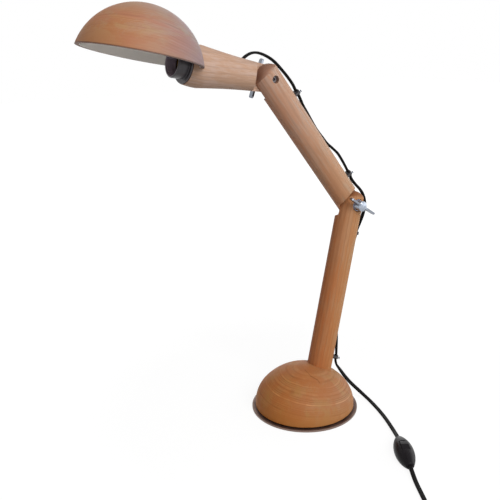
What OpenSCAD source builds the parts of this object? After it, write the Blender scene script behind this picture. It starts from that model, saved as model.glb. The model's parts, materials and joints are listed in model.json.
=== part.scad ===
// Desk lamp with a turned base, two round wooden arms on half-lap knuckles and a bowl shade.
// Millimetres. Origin under the middle of the foot, Z up, arms in the XZ plane, head toward -X.

/* [Base] */
// Diameter of the steel foot plate
plate_d = 150.6; // [149:0.2:165]
// Thickness of the steel foot plate
plate_t = 3; // [2.5:0.5:5]
// Widest diameter of the turned base
dome_d = 140.6; // [134:0.2:145]
// Height of the rounded part of the turned base
dome_h = 56; // [53:1:60]
// Radius of the rounded side of the turned base
dome_side_r = 44; // [40:1:50]
// Height of the straight band under the rounded part
dome_band_h = 3.7; // [2:0.1:6]

/* [Arms] */
// Diameter of the round arms
arm_d = 35; // [33:0.5:37]
// Lower arm, from the table to the elbow pivot
lower_len = 295; // [280:1:310]
// Lean of the lower arm from upright
lower_lean = 13; // [10:0.5:15]
// Where the lower arm's axis meets the table, from the middle of the foot
foot_x = 14.5; // [12:0.5:17]
// Depth of the floor of the arm's socket, measured up the arm's axis from the table
socket_floor = 22; // [20:1:28]
// Upper arm, from the elbow pivot to the wrist pivot
upper_len = 222; // [210:1:235]
// Lean of the upper arm from upright, the other way
upper_lean = 38; // [34:1:42]

/* [Knuckles] */
// Diameter of the bolts
bolt_d = 6; // [5:0.5:7]
// Diameter of the bolt heads
bolt_head_d = 9; // [8.5:0.5:10]
// Gap between the two flat lap faces
lap_gap = 0.4; // [0.3:0.1:0.8]
// Radius of the hollow shoulders at the elbow
elbow_shoulder_r = 23; // [22.5:0.5:25]
// Radius of the hollow shoulder of the upper arm at the wrist
wrist_shoulder_r = 24.5; // [23.5:0.5:26]
// Radius of the hollow shoulder of the neck
neck_shoulder_r = 28.6; // [26:0.2:30]
// Tip to tip span of a wing nut
wing_span = 50; // [44:1:54]
// Thickness of a wing
wing_t = 2.6; // [2:0.2:3.6]
// Height of a wing
wing_h = 7; // [6:0.5:8]
// Turn of the elbow nut's wings
elbow_wing_turn = -33; // [-90:1:90]
// Turn of the wrist nut's wings
wrist_wing_turn = -69; // [-90:1:90]

/* [Head] */
// Rise of the neck above level
neck_rise = 10.8; // [8:0.2:14]
// Length of the neck from the wrist pivot to its end face
neck_len = 116; // [112:1:120]
// Thin diameter of the neck at the wrist
neck_thin_d = 32.6; // [32:0.2:33.4]
// Thick diameter of the neck near the shade
neck_thick_d = 48.4; // [47:0.2:50]
// Diameter of the neck's end face
neck_end_d = 45; // [44.4:0.2:46]
// Where the cord leaves the top of the neck, from the wrist pivot
exit_at = 39; // [35:1:42]
// Diameter across the rim of the shade
shade_d = 140.2; // [135:0.2:144]
// Height of the shade above its rim
shade_h = 55.4; // [53:0.2:58]
// Wall thickness of the shade
shade_wall = 4.5; // [3.5:0.1:5.5]
// Extra tilt of the shade against the neck
shade_tilt = 2.5; // [0:0.5:4]
// Distance of the rim's middle from the wrist pivot
shade_at = 170.2; // [166:0.2:172]

/* [Lampholder] */
// Outer diameter of the lampholder's skirt
holder_d = 34.6; // [33.6:0.2:35.6]
// Diameter of the lampholder's flange
holder_flange_d = 43.6; // [41:0.2:44]
// How far the skirt stands out of the neck
holder_out = 16; // [14:0.5:18]
// Bore of the screw shell for the bulb
bulb_bore_d = 26.6; // [26.4:0.1:26.8]

/* [Cord] */
// Width of the flat cord
cord_w = 5.4; // [4.8:0.1:5.8]
// Thickness of the flat cord
cord_t = 3.2; // [2.8:0.1:3.4]
// Height of the cord's middle above the arm at a clip
clip_stand = 4.4; // [4:0.1:5]
// Length of a clip along the arm
clip_l = 4.4; // [4:0.2:7]
// Middle radius of the coil's outer turn
coil_r = 36; // [34:0.5:38]

/* [Switch and plug] */
// Length of the cord switch
switch_l = 62; // [58:1:66]
// Width of the cord switch
switch_w = 24.4; // [23:0.2:26]
// Tilt of the rocker to each side
rocker_tilt = 8; // [5:1:9]
// Thickness of the plug
plug_t = 13.7; // [13:0.1:14.5]

/* [Hidden] */
$fn = 96;
// Clearance of glued and pressed-in pieces
fit = 0.15;
// Radial clearance of turning pins
run_fit = 0.08;
// Overshoot of cutting tools
over = 1;

// Half sizes
arm_r = arm_d / 2;
plate_r = plate_d / 2;
dome_r = dome_d / 2;
bolt_r = bolt_d / 2;
shade_r = shade_d / 2;
holder_r = holder_d / 2;

// Directions up the lower arm, up the upper arm and out along the neck, with the back of each
lower_up = [sin(lower_lean), 0, cos(lower_lean)];
lower_back = [cos(lower_lean), 0, -sin(lower_lean)];
upper_up = [-sin(upper_lean), 0, cos(upper_lean)];
upper_back = [cos(upper_lean), 0, sin(upper_lean)];
neck_out = [-cos(neck_rise), 0, sin(neck_rise)];
neck_up = [sin(neck_rise), 0, cos(neck_rise)];

// Foot point of the lower arm's axis and the two pivots
foot = [foot_x, 0, 0];
elbow = foot + lower_len * lower_up;
wrist = elbow + upper_len * upper_up;

// Turned base: centre and radius of the flat top arc and the point where the two arcs meet
dome_bottom = plate_t;
dome_arc_z = plate_t + dome_band_h;
dome_top_r = (pow(dome_r - dome_side_r, 2) + pow(dome_h, 2) - pow(dome_side_r, 2))
    / (2 * (dome_h - dome_side_r));
dome_arc_dir = [dome_r - dome_side_r, dome_top_r - dome_h] / (dome_top_r - dome_side_r);
// Shadow gap between the turned base and the plate
rebate_h = 1.6;
rebate_w = 2.4;

// Plate screws: place, head, shank and reach into the base
plate_screw_at = 50;
plate_screw_turns = [90, 210, 330];
plate_screw_head_d = 7;
plate_screw_d = 3.4;
plate_screw_sunk = 0.3;
plate_screw_head_h = 1.8;
plate_screw_tip = 24;

// Post screw that draws the lower arm into its socket
post_screw_d = 6;
post_head_d = 11;
post_head_h = 4;
post_seat = 12;
post_tip = 62;

// Knuckles: rounded tongue ends, nut seat, washer and nut stack outward from the lap plane
tongue_r = arm_r + 0.9;
neck_tongue_r = neck_thin_d / 2 + 0.9;
seat_y = arm_r - 2.2;
neck_seat_y = neck_thin_d / 2 - 2.2;
spot_d = 17.6;
washer_d = 16;
washer_t = 1.5;
nut_gap = 0.1;
hub_d = 14.6;
hub_top_d = 13.6;
hub_h = 9.6;
hub_cap_h = 2.6;
wing_low = 5;
wing_corner_r = 2.2;
nut_bore_h = 10;
thread_in = 9.5;
// Bolt heads sit this far below the round of the arm
head_h = 5;
head_sunk = 5;
head_seat_y = arm_r - head_sunk - head_h;
hex_key = 4;
hex_deep = 3;

// Neck: place of the thickest point, and the flare between thin and thick
neck_thick_at = 98;
flare = 0.45;
neck_bands = 11;
function neck_r(s) =
    s <= 0 ? neck_thin_d / 2 :
    s <= neck_thick_at ? neck_thin_d / 2 + (neck_thick_d - neck_thin_d) / 2
        * (flare * s / neck_thick_at + (1 - flare) * pow(s / neck_thick_at, 2)) :
    neck_thick_d / 2 - (neck_thick_d - neck_end_d) / 2
        * pow((s - neck_thick_at) / (neck_len - neck_thick_at), 2);
neck_stations = concat([for (i = [1:neck_bands]) neck_thick_at * i / neck_bands],
    [for (i = [1:3]) neck_thick_at + (neck_len - neck_thick_at) * i / 3]);

// Shade: radius of its sphere and height of the sphere's middle above the rim
shade_ball_r = (pow(shade_r, 2) + pow(shade_h, 2)) / (2 * shade_h);
shade_ball_z = shade_h - shade_ball_r;

// Lampholder, measured along the neck from the wrist pivot
holder_back = 82;
holder_floor = 92;
holder_front = neck_len + holder_out;
flange_t = 2.2;
lip_r = 1.6;
holder_wall = 1.8;
mouth_wall = 2.4;
mouth_l = 13;
insert_front = 100;
insert_dish = 0.6;
shell_front = holder_front - mouth_l - 0.4;
shell_wall = 0.8;
contact_d = 8;
contact_h = 3.6;
// The contact stands this far below the screw shell
contact_below = 0.2;
terminal_d = 3.6;
terminal_at = 9;
terminal_h = 5;

// Cord bores in the neck: along its axis, then up and back at half a right angle
cord_bore_d = cord_w + 3.2;
exit_up = neck_r(exit_at);
exit_meet = exit_at + exit_up;

// Clips: place up the arm, turn from the arm's back toward -Y, and side of the nail, -1 toward -Y
upper_clips_at = [[upper_len - 39, 12, -1], [41, 16, -1]];
lower_clips_at = [[lower_len - 41, 0, 1], [73, 27, -1]];
clip_gap = 0.2;
clip_wall = 1;
nail_d = 1.6;
nail_head_d = 3.4;
nail_head_h = 0.8;
nail_boss_d = 4;
nail_boss_h = 6;
nail_proud = 2;
nail_in = 11;
nail_off = cord_w / 2 + clip_gap + clip_wall + 1.4;
clip_mid = arm_r + clip_stand;

// Switch: place, heading, height of its axis, nose, window, rocker and screws
switch_pos = [21, -177, 0];
switch_turn = 238;
switch_axis_z = 6;
switch_nose_r = 4.6;
switch_bow_r = (pow(switch_l / 2, 2) + pow(switch_w / 2 - switch_nose_r, 2))
    / (2 * (switch_w / 2 - switch_nose_r));
window_l = 19.6;
window_w = 10.6;
rocker_l = 16.8;
rocker_w = 9.8;
rocker_pivot_z = 10;
rocker_low = -2;
rocker_edge = 6.8;
rocker_ridge = 8.6;
rocker_pin_d = 2.6;
rocker_pin_l = 13;
switch_screw_at = 17;
switch_screw_d = 2.8;
switch_screw_head_d = 4.8;
switch_screw_head_h = 1.6;
switch_screw_seat = 2.4;
switch_screw_top = 11;

// Coil: middle, angle where the cord comes in, turns, pitch outward and upward, height of the low layer
coil_pos = [-30, -327, 0];
coil_in_angle = 146;
rings_per_turn = 24;
coil_rings = 152;
coil_pitch = cord_t + 0.7;
layer_pitch = cord_w + 0.7;
tie_t = 0.8;
tie_gap = 0.3;
tie_w = 6;
tie_turn = 330;
coil_low_z = tie_t + tie_gap + cord_w / 2;

// Plug: length, widths at the cord end and the face, pins
plug_l = 36;
plug_nose_w = 11;
plug_w = 35.3;
plug_lead = 50;
pin_d = 4;
pin_l = 19;
pin_gap = 18.6;
pin_root = 6;

// Frames: the moving pieces are drawn along Z with their back toward X
module on_lower() {
    translate(foot) rotate([0, lower_lean, 0]) children();
}

module on_upper() {
    translate(elbow) rotate([0, -upper_lean, 0]) children();
}

module on_head() {
    translate(wrist) rotate([0, neck_rise - 90, 0]) children();
}

module on_shade() {
    on_head() translate([0, 0, shade_at]) rotate([0, 90 + shade_tilt, 0]) children();
}

module on_switch() {
    translate(switch_pos) rotate([0, 0, switch_turn]) children();
}

// A round bar across the arms, centred on the pivot
module cross_bar(r, w) {
    rotate([90, 0, 0]) cylinder(r = r, h = w, center = true);
}

// A round tool that starts at height y and runs outward on the given side of the lap plane
module side_tool(side, y, r, h) {
    rotate([-90 * side, 0, 0]) translate([0, 0, y]) cylinder(r = r, h = h);
}

// Cuts away the half of an arm on the given side of the lap plane, with a hollow shoulder
module lap_cut(side, shoulder_r) {
    side_tool(side, -lap_gap / 2, shoulder_r, arm_d);
}

// Bolt head seat on the given side of the arm
module head_sink(side) {
    side_tool(side, head_seat_y, bolt_head_d / 2 + 0.2, arm_r);
}

// Bolt with its head on the given side and its thread in the nut on the other side
module bolt(side, far_seat) {
    tip_y = far_seat + washer_t + nut_gap + thread_in;
    difference() {
        union() {
            side_tool(side, head_seat_y, bolt_head_d / 2, head_h);
            side_tool(side, -tip_y, bolt_r, tip_y + head_seat_y);
        }
        rotate([-90 * side, 0, 0]) translate([0, 0, head_seat_y + head_h - hex_deep])
            cylinder(d = hex_key / cos(30), h = hex_deep + over, $fn = 6);
    }
}

module washer(side, seat) {
    difference() {
        side_tool(side, seat, washer_d / 2, washer_t);
        side_tool(side, seat - over, bolt_r + 2 * run_fit, washer_t + 2 * over);
    }
}

// Outline of the two flat wings with rounded corners
module wing_profile() {
    square([wing_span - 2 * wing_corner_r, wing_h], center = true);
    square([wing_span, wing_h - 2 * wing_corner_r], center = true);
    for (end = [-1, 1]) for (edge = [-1, 1])
        translate([end * (wing_span / 2 - wing_corner_r), edge * (wing_h / 2 - wing_corner_r)])
            circle(r = wing_corner_r);
}

// Wing nut standing on Z: a tapered hub with a low domed end and two flat wings
module wing_nut(turn) {
    cap_r = (pow(hub_top_d / 2, 2) + pow(hub_cap_h, 2)) / (2 * hub_cap_h);
    rotate([0, 0, turn]) difference() {
        union() {
            cylinder(d1 = hub_d, d2 = hub_top_d, h = hub_h);
            intersection() {
                translate([0, 0, hub_h + hub_cap_h - cap_r]) sphere(r = cap_r);
                translate([0, 0, hub_h]) cylinder(d = hub_d, h = hub_cap_h + over);
            }
            translate([0, 0, wing_low + wing_h / 2]) rotate([90, 0, 0])
                linear_extrude(height = wing_t, center = true) wing_profile();
        }
        translate([0, 0, -over]) cylinder(r = bolt_r + run_fit, h = nut_bore_h + over);
    }
}

// Outline of the neck as a turned solid, grown by a clearance
module neck_turning(grow) {
    rotate_extrude()
        polygon(concat([[0, -arm_d], [neck_thin_d / 2 + grow, -arm_d]],
            [for (s = neck_stations) [neck_r(s) + grow, s]], [[0, neck_len]]));
}

// A clip with its cord slot and nail boss, its frame turned to the clip's place on the arm
module at_clip(place) {
    rotate([0, 0, -place[1]]) translate([0, 0, place[0]]) children();
}

// The nail's axis beside the cord, pointing out of the arm
module at_nail(place) {
    translate([0, place[2] * nail_off, 0]) rotate([0, 90, 0]) children();
}

module clip(place) {
    slot_t = cord_t + 2 * clip_gap;
    slot_w = cord_w + 2 * clip_gap;
    block_w = slot_w + 2 * clip_wall;
    block_h = clip_stand + slot_t / 2 + clip_wall;
    difference() {
        at_clip(place) union() {
            translate([0, -block_w / 2, -clip_l / 2]) cube([arm_r + block_h, block_w, clip_l]);
            at_nail(place) cylinder(d = nail_boss_d, h = arm_r + nail_boss_h);
        }
        at_clip(place) translate([clip_mid - slot_t / 2, -slot_w / 2, -clip_l])
            cube([slot_t, slot_w, 2 * clip_l]);
        at_clip(place) at_nail(place) cylinder(d = nail_d + 2 * fit, h = arm_d);
        cylinder(r = arm_r + fit, h = lower_len);
    }
}

module nail(place) {
    at_clip(place) at_nail(place) {
        translate([0, 0, arm_r - nail_in]) cylinder(d = nail_d, h = nail_in + nail_boss_h + nail_proud);
        translate([0, 0, arm_r + nail_boss_h + nail_proud]) cylinder(d = nail_head_d, h = nail_head_h);
    }
}

module nail_hole(place) {
    at_clip(place) at_nail(place) translate([0, 0, arm_r - nail_in - over])
        cylinder(d = nail_d + 2 * fit, h = nail_in + 3 * over);
}

// Cord rows: a point and the direction of the cord's width, as six numbers
function row(p, w) = [p[0], p[1], p[2], w[0], w[1], w[2]];
function turned(back, turn) = back * sin(turn) + [0, cos(turn), 0];
function lower_row(a, out, side, turn) =
    row(foot + a * lower_up + out * lower_back + [0, side, 0], turned(lower_back, turn));
function upper_row(a, out, side, turn) =
    row(elbow + a * upper_up + out * upper_back + [0, side, 0], turned(upper_back, turn));
function head_row(s, h) = row(wrist + s * neck_out + h * neck_up, [0, 1, 0]);
function lower_clip_row(place, step) =
    lower_row(place[0] + step, clip_mid * cos(place[1]), -clip_mid * sin(place[1]), place[1]);
function upper_clip_row(place, step) =
    upper_row(place[0] + step, clip_mid * cos(place[1]), -clip_mid * sin(place[1]), place[1]);
// Place on an arm at a share of the way from its first clip to its second
function way(clips, share) = clips[0][0] + share * (clips[1][0] - clips[0][0]);

// Even curve through the rows
function curve(a, b, c, d, t) =
    0.5 * (2 * b + (c - a) * t + (2 * a - 5 * b + 4 * c - d) * t * t + (3 * b - a - 3 * c + d) * t * t * t);
function smooth(rows, steps) =
    concat([for (i = [0:len(rows) - 2]) for (k = [0:steps - 1])
        curve(rows[max(i - 1, 0)], rows[i], rows[i + 1], rows[min(i + 2, len(rows) - 1)], k / steps)],
        [rows[len(rows) - 1]]);
function point_of(r) = [r[0], r[1], r[2]];
function width_of(r) = [r[3], r[4], r[5]];
function unit(v) = v / norm(v);
function ring(rows, i, section) =
    let (p = point_of(rows[i]),
        t = unit(point_of(rows[min(i + 1, len(rows) - 1)]) - point_of(rows[max(i - 1, 0)])),
        w = unit(width_of(rows[i]) - (width_of(rows[i]) * t) * t),
        n = cross(t, w))
    [for (q = section) p + q[0] * w + q[1] * n];
function rings(rows, section) = [for (i = [0:len(rows) - 1]) ring(rows, i, section)];

// Closed tube through the rings from first to last
module tube(all, first, last) {
    sides = len(all[0]);
    faces_around = [for (i = [0:last - first - 1]) for (j = [0:sides - 1])
        let (a = i * sides + j, b = i * sides + (j + 1) % sides)
        each [[a, a + sides, b + sides], [a, b + sides, b]]];
    polyhedron(points = [for (i = [first:last]) each all[i]],
        faces = concat(faces_around, [[for (j = [0:sides - 1]) j]],
            [[for (j = [sides - 1:-1:0]) (last - first) * sides + j]]));
}

// Cross-sections of the flat cord
cord_section = [for (q = [[1, 0.4], [0.64, 1], [-0.64, 1], [-1, 0.4],
    [-1, -0.4], [-0.64, -1], [0.64, -1], [1, -0.4]]) [q[0] * cord_w / 2, q[1] * cord_t / 2]];
coil_section = [for (q = [[1, 0], [0.5, 1], [-0.5, 1], [-1, 0], [-0.5, -1], [0.5, -1]])
    [q[0] * cord_w / 2, q[1] * cord_t / 2]];

// Rows of the cord from the lampholder to the lowest clip, one list for each stretch
clip_end = clip_l / 2 + 1.2;
// Gap between a housing and the end of a stretch of cord
cord_start = 0.4;
neck_rows = [head_row(holder_back - cord_start, 0), head_row(exit_meet + 18, 0),
    head_row(exit_meet + 12, 0.1), head_row(exit_meet + 6.5, 0.7), head_row(exit_meet + 1, 2.5),
    head_row(exit_meet - 4.4, 6), head_row(exit_meet - 9.8, 10.6), head_row(exit_meet - 14.4, 14.6),
    head_row(exit_at, exit_up)];
wrist_rows = concat([head_row(exit_at - 3, exit_up + 3)],
    [for (q = [[32, 6.9], [27, 9.3], [20, 10.5], [12, 9.9], [3.6, 8]]) head_row(q[0], arm_r + q[1])],
    [for (q = [[11.6, 2, -1, 3], [2.4, 3.7, -1.5, 4], [-7.7, 4.9, -2, 6], [-18, 5.5, -3, 8],
        [-28, 5.2, -4, 10]])
        upper_row(upper_len + q[0], arm_r + q[1], q[2], q[3])]);
upper_rows = concat([for (step = [clip_end, 0, -clip_end]) upper_clip_row(upper_clips_at[0], step)],
    [for (q = [[0.09, 2.7, -4, 11], [0.14, 1.9, -3, 8], [0.245, 2, -1, 3], [0.35, 2.2, 1.5, -4],
        [0.445, 1.9, 2, -5], [0.54, 2, 0.2, 0], [0.61, 2.2, -1.2, 3], [0.69, 4.4, -3, 8],
        [0.765, 6.2, -4, 10], [0.835, 5.7, -5, 13], [0.91, 4.6, -5.8, 15]])
        upper_row(way(upper_clips_at, q[0]), arm_r + q[1], q[2], q[3])],
    [for (step = [clip_end, 0, -clip_end]) upper_clip_row(upper_clips_at[1], step)]);
elbow_bow = arm_d / 35;
elbow_rows = [for (q = [[-3.7, 35.9, -6], [3.5, 27.9, -5.8], [12.6, 19.6, -5.2], [19, 11.9, -4.5],
    [22.8, 4.1, -3.9], [24.5, -5.6, -3.4], [22.7, -16.3, -2.9], [20.6, -22.7, -2.4], [17.8, -29.7, -1.6]])
    row(elbow + [q[0] * elbow_bow, q[2], q[1] * elbow_bow], [0, 1, 0])];
lower_rows = concat([for (step = [clip_end, 0, -clip_end]) lower_clip_row(lower_clips_at[0], step)],
    [for (q = [[0.14, 2.8, 1.4, -4], [0.295, 2, 2.6, -7], [0.51, 1.9, 3, -8], [0.73, 2, 2, -5],
        [0.87, 2.8, -4, 11]])
        lower_row(way(lower_clips_at, q[0]), arm_r + q[1], q[2], q[3])],
    [for (step = [clip_end, 0, -clip_end]) lower_clip_row(lower_clips_at[1], step)]);
// Free cord from the lowest clip to the switch, and from the switch to the coil
switch_head = [cos(switch_turn), sin(switch_turn), 0];
switch_side = [-sin(switch_turn), cos(switch_turn), 0];
switch_mid = switch_pos + [0, 0, switch_axis_z];
free_top = point_of(lower_clip_row(lower_clips_at[1], 0));
floor_z = cord_t / 2 + 0.2;
free_rows = concat([for (q = [[0.4, -0.5, -11.4, 0.44, 0.89], [3.4, -1, -17, 0.46, 0.88],
    [8.2, -1.9, -24.4, 0.5, 0.86], [15.2, -4.5, -35.6, 0.58, 0.8]])
        row(free_top + [q[0], q[1], q[2]], [q[3], q[4], 0])],
    [for (q = [[-4.5, -19, 22.4, 0.66, 0.75], [-0.5, -25, 16.4, 0.75, 0.66], [3.1, -31, 11, 0.85, 0.52],
        [5.5, -38, 6.6, 0.94, 0.34], [6.1, -47, 3.6, 1, 0.1], [4.5, -57, 2.2, 0.98, -0.2]])
        row([plate_r + q[0], q[1], q[2]], [q[3], q[4], 0])],
    [row([74, -76, floor_z], [0.94, -0.34, 0]), row([66, -97, floor_z], [0.92, -0.4, 0]),
        row([57, -117, floor_z], [0.9, -0.44, 0]), row([49, -132, 3], [0.87, -0.49, 0]),
        row(switch_mid - (switch_l / 2 + 7) * switch_head - [0, 0, 0.6], -switch_side),
        row(switch_mid - (switch_l / 2 + cord_start) * switch_head, -switch_side)]);
coil_in_head = [-sin(coil_in_angle), cos(coil_in_angle), 0];
coil_in_side = [-cos(coil_in_angle), -sin(coil_in_angle), 0];
coil_in = coil_pos + [coil_r * cos(coil_in_angle), coil_r * sin(coil_in_angle), coil_low_z];
tail_rows = [row(switch_mid + (switch_l / 2 + cord_start) * switch_head, -switch_side),
    row(switch_mid + (switch_l / 2 + 7) * switch_head - [0, 0, 1.4], -switch_side),
    row([-8, -224, 2], [0.86, -0.51, 0]), row([-17, -239.4, floor_z], [0.86, -0.51, 0]),
    row([-25.4, -254, floor_z], [0.84, -0.54, 0.1]),
    row(coil_in - 40 * coil_in_head - [0, 0, 1.4], coil_in_side + [0, 0, 0.5]),
    row(coil_in - 22 * coil_in_head, 0.4 * coil_in_side + [0, 0, 1]),
    row(coil_in - 12 * coil_in_head, [0, 0, 1]), row(coil_in - 6 * coil_in_head, [0, 0, 1])];

// Two piled layers: the coil runs in on the low layer, climbs where it turns back and runs out on top
function coil_climb(turns) =
    let (t = max(0, min(1, (turns - coil_rings / rings_per_turn / 2) * 2 + 0.5))) t * t * (3 - 2 * t);
function coil_row(k) =
    let (turns = k / rings_per_turn,
        half = coil_rings / rings_per_turn / 2,
        r = coil_r - coil_pitch * (half - abs(turns - half)),
        angle = coil_in_angle + 360 * turns)
    row(coil_pos + [r * cos(angle), r * sin(angle), coil_low_z + layer_pitch * coil_climb(turns)], [0, 0, 1]);
coil_end_angle = coil_in_angle + 360 * coil_rings / rings_per_turn;
coil_end_head = [-sin(coil_end_angle), cos(coil_end_angle), 0];
coil_end_side = [cos(coil_end_angle), sin(coil_end_angle), 0];
coil_end = coil_pos + coil_r * coil_end_side;
coil_end_z = coil_low_z + layer_pitch;
plug_pos = coil_end + plug_lead * coil_end_head;
lead_rows = [row(coil_end + 6 * coil_end_head + [0, 0, coil_end_z], [0, 0, 1]),
    row(coil_end + 16 * coil_end_head + [0, 0, coil_end_z - 0.6], 0.4 * coil_end_side + [0, 0, 1]),
    row(coil_end + 28 * coil_end_head + [0, 0, coil_end_z - 2], coil_end_side + [0, 0, 0.6]),
    row(coil_end + 40 * coil_end_head + [0, 0, plug_t / 2], coil_end_side),
    row(plug_pos - cord_start * coil_end_head + [0, 0, plug_t / 2], coil_end_side)];
coil_rows = concat([row(coil_in - 6 * coil_in_head, [0, 0, 1])], [for (k = [0:coil_rings]) coil_row(k)],
    smooth(lead_rows, 2));

// All rings, with the first ring of each stretch
route_steps = 2;
route = rings(smooth(concat(neck_rows, wrist_rows, upper_rows, elbow_rows, lower_rows, free_rows),
    route_steps), cord_section);
route_wrist = len(neck_rows) * route_steps;
route_upper = route_wrist + len(wrist_rows) * route_steps;
route_elbow = route_upper + (len(upper_rows) - 1) * route_steps;
route_lower = route_elbow + (len(elbow_rows) + 1) * route_steps;
route_free = route_lower + (len(lower_rows) - 1) * route_steps;
tail_rings = rings(smooth(tail_rows, route_steps), cord_section);
coil_rings_all = rings(coil_rows, coil_section);

// Least gap between turns that lie beside or on each other, over the points of the coil
coil_gap = min([for (k = [1:coil_rings - rings_per_turn])
    for (m = [rings_per_turn:rings_per_turn:coil_rings - k])
    for (a = coil_rings_all[k]) for (b = coil_rings_all[k + m]) norm(a - b)]);
echo(coil_gap = coil_gap);

module plate_screw_places() {
    for (turn = plate_screw_turns) rotate([0, 0, turn]) translate([plate_screw_at, 0, 0]) children();
}

// Countersunk screw, grown by a clearance for its hole
module plate_screw(grow) {
    head_r = plate_screw_head_d / 2 + grow;
    shank_r = plate_screw_d / 2 + grow;
    translate([0, 0, plate_screw_sunk]) cylinder(r1 = head_r, r2 = shank_r, h = plate_screw_head_h);
    translate([0, 0, plate_screw_sunk]) cylinder(r = shank_r, h = plate_screw_tip + grow);
}

module base_plate() {
    edge = 0.5;
    color([0.55, 0.56, 0.58]) difference() {
        union() {
            cylinder(r = plate_r, h = plate_t - edge);
            translate([0, 0, plate_t - edge]) cylinder(r1 = plate_r, r2 = plate_r - edge, h = edge);
        }
        plate_screw_places() {
            plate_screw(fit);
            translate([0, 0, -over]) cylinder(r = plate_screw_head_d / 2 + fit, h = over + plate_screw_sunk);
        }
    }
}

module plate_screws() {
    color([0.7, 0.7, 0.72]) plate_screw_places() plate_screw(0);
}

// Two tangent arcs over a straight band
module dome_profile() {
    reach = 2 * dome_top_r;
    arc_mid = [dome_r - dome_side_r, 0];
    difference() {
        translate([0, dome_arc_z]) intersection() {
            translate([0, dome_h - dome_top_r]) circle(r = dome_top_r);
            union() {
                translate(arc_mid) circle(r = dome_side_r);
                polygon([[0, -dome_band_h], [dome_r - dome_side_r, -dome_band_h], arc_mid,
                    arc_mid + reach * dome_arc_dir, [0, reach]]);
                translate([0, -dome_band_h]) square([dome_r, dome_band_h]);
            }
            translate([0, -dome_band_h]) square([dome_d, reach]);
        }
        translate([dome_r - rebate_w, dome_bottom - over]) square([dome_d, rebate_h + over]);
    }
}

module base_dome() {
    color([0.62, 0.33, 0.14]) difference() {
        rotate_extrude() dome_profile();
        on_lower() {
            translate([0, 0, socket_floor]) cylinder(r = arm_r + fit, h = lower_len);
            cylinder(d = post_screw_d + 2 * fit, h = lower_len);
            translate([0, 0, -post_seat]) cylinder(d = post_head_d + 4 * fit, h = 2 * post_seat);
        }
        plate_screw_places() plate_screw(fit);
    }
}

module post_screw() {
    color([0.7, 0.7, 0.72]) on_lower() difference() {
        union() {
            translate([0, 0, post_seat - post_head_h]) cylinder(d = post_head_d, h = post_head_h);
            translate([0, 0, post_seat - post_head_h])
                cylinder(d = post_screw_d, h = post_tip - post_seat + post_head_h);
        }
        translate([0, 0, post_seat - post_head_h - over])
            cylinder(d = hex_key / cos(30), h = hex_deep + over, $fn = 6);
    }
}

// Round bar between two heights on Z with a rounded tongue end at each pivot named
module arm_blank(low, high, pivots) {
    intersection() {
        translate([0, 0, low - arm_d]) cylinder(r = arm_r, h = high - low + 2 * arm_d);
        union() {
            translate([-arm_d, -arm_d, low]) cube([2 * arm_d, 2 * arm_d, high - low]);
            for (z = pivots) translate([0, 0, z]) cross_bar(tongue_r, 2 * arm_d);
        }
    }
}

module lower_arm() {
    color([0.6, 0.32, 0.14]) on_lower() difference() {
        arm_blank(socket_floor, lower_len, [lower_len]);
        translate([0, 0, lower_len]) {
            lap_cut(1, elbow_shoulder_r);
            cross_bar(bolt_r + run_fit, 2 * arm_d);
            side_tool(-1, seat_y, spot_d / 2, arm_r);
        }
        cylinder(d = post_screw_d + 2 * fit, h = post_tip + over);
        for (place = lower_clips_at) nail_hole(place);
    }
}

module upper_arm() {
    color([0.55, 0.36, 0.26]) on_upper() difference() {
        arm_blank(0, upper_len, [0, upper_len]);
        lap_cut(-1, elbow_shoulder_r);
        cross_bar(bolt_r + run_fit, 2 * arm_d);
        head_sink(1);
        translate([0, 0, upper_len]) {
            lap_cut(1, wrist_shoulder_r);
            cross_bar(bolt_r + run_fit, 2 * arm_d);
            head_sink(-1);
        }
        for (place = upper_clips_at) nail_hole(place);
    }
}

module neck() {
    color([0.72, 0.55, 0.38]) on_head() difference() {
        intersection() {
            neck_turning(0);
            union() {
                translate([-arm_d, -arm_d, 0]) cube([2 * arm_d, 2 * arm_d, neck_len]);
                cross_bar(neck_tongue_r, 2 * arm_d);
            }
        }
        lap_cut(-1, neck_shoulder_r);
        cross_bar(bolt_r + run_fit, 2 * arm_d);
        side_tool(1, neck_seat_y, spot_d / 2, arm_r);
        translate([0, 0, holder_back - fit]) cylinder(r = holder_r + fit, h = neck_len);
        translate([0, 0, exit_meet - cord_bore_d / 2]) cylinder(d = cord_bore_d + 1, h = neck_len);
        translate([0, 0, exit_meet]) rotate([0, 135, 0]) cylinder(d = cord_bore_d, h = arm_d);
    }
}

// Bowl between two concentric spheres, turned half round so that its seam lies at the far rim
module shade() {
    color([0.5, 0.25, 0.16]) difference() {
        on_shade() rotate([0, 0, 180]) rotate_extrude() intersection() {
            translate([0, shade_ball_z]) difference() {
                circle(r = shade_ball_r);
                circle(r = shade_ball_r - shade_wall);
            }
            square([shade_d, shade_d]);
        }
        on_head() neck_turning(fit);
    }
}

module lampholder_body() {
    color([0.05, 0.05, 0.05]) on_head() difference() {
        union() {
            translate([0, 0, holder_back]) cylinder(r = holder_r, h = holder_front - lip_r - holder_back);
            translate([0, 0, neck_len]) cylinder(d = holder_flange_d, h = flange_t);
            translate([0, 0, holder_front - lip_r]) cylinder(r = holder_r - lip_r, h = lip_r);
            translate([0, 0, holder_front - lip_r]) rotate_extrude()
                translate([holder_r - lip_r, 0]) circle(r = lip_r);
        }
        translate([0, 0, holder_floor])
            cylinder(r = holder_r - holder_wall, h = holder_front - mouth_l - holder_floor);
        translate([0, 0, holder_floor]) cylinder(r = holder_r - mouth_wall, h = holder_front);
    }
}

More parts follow.
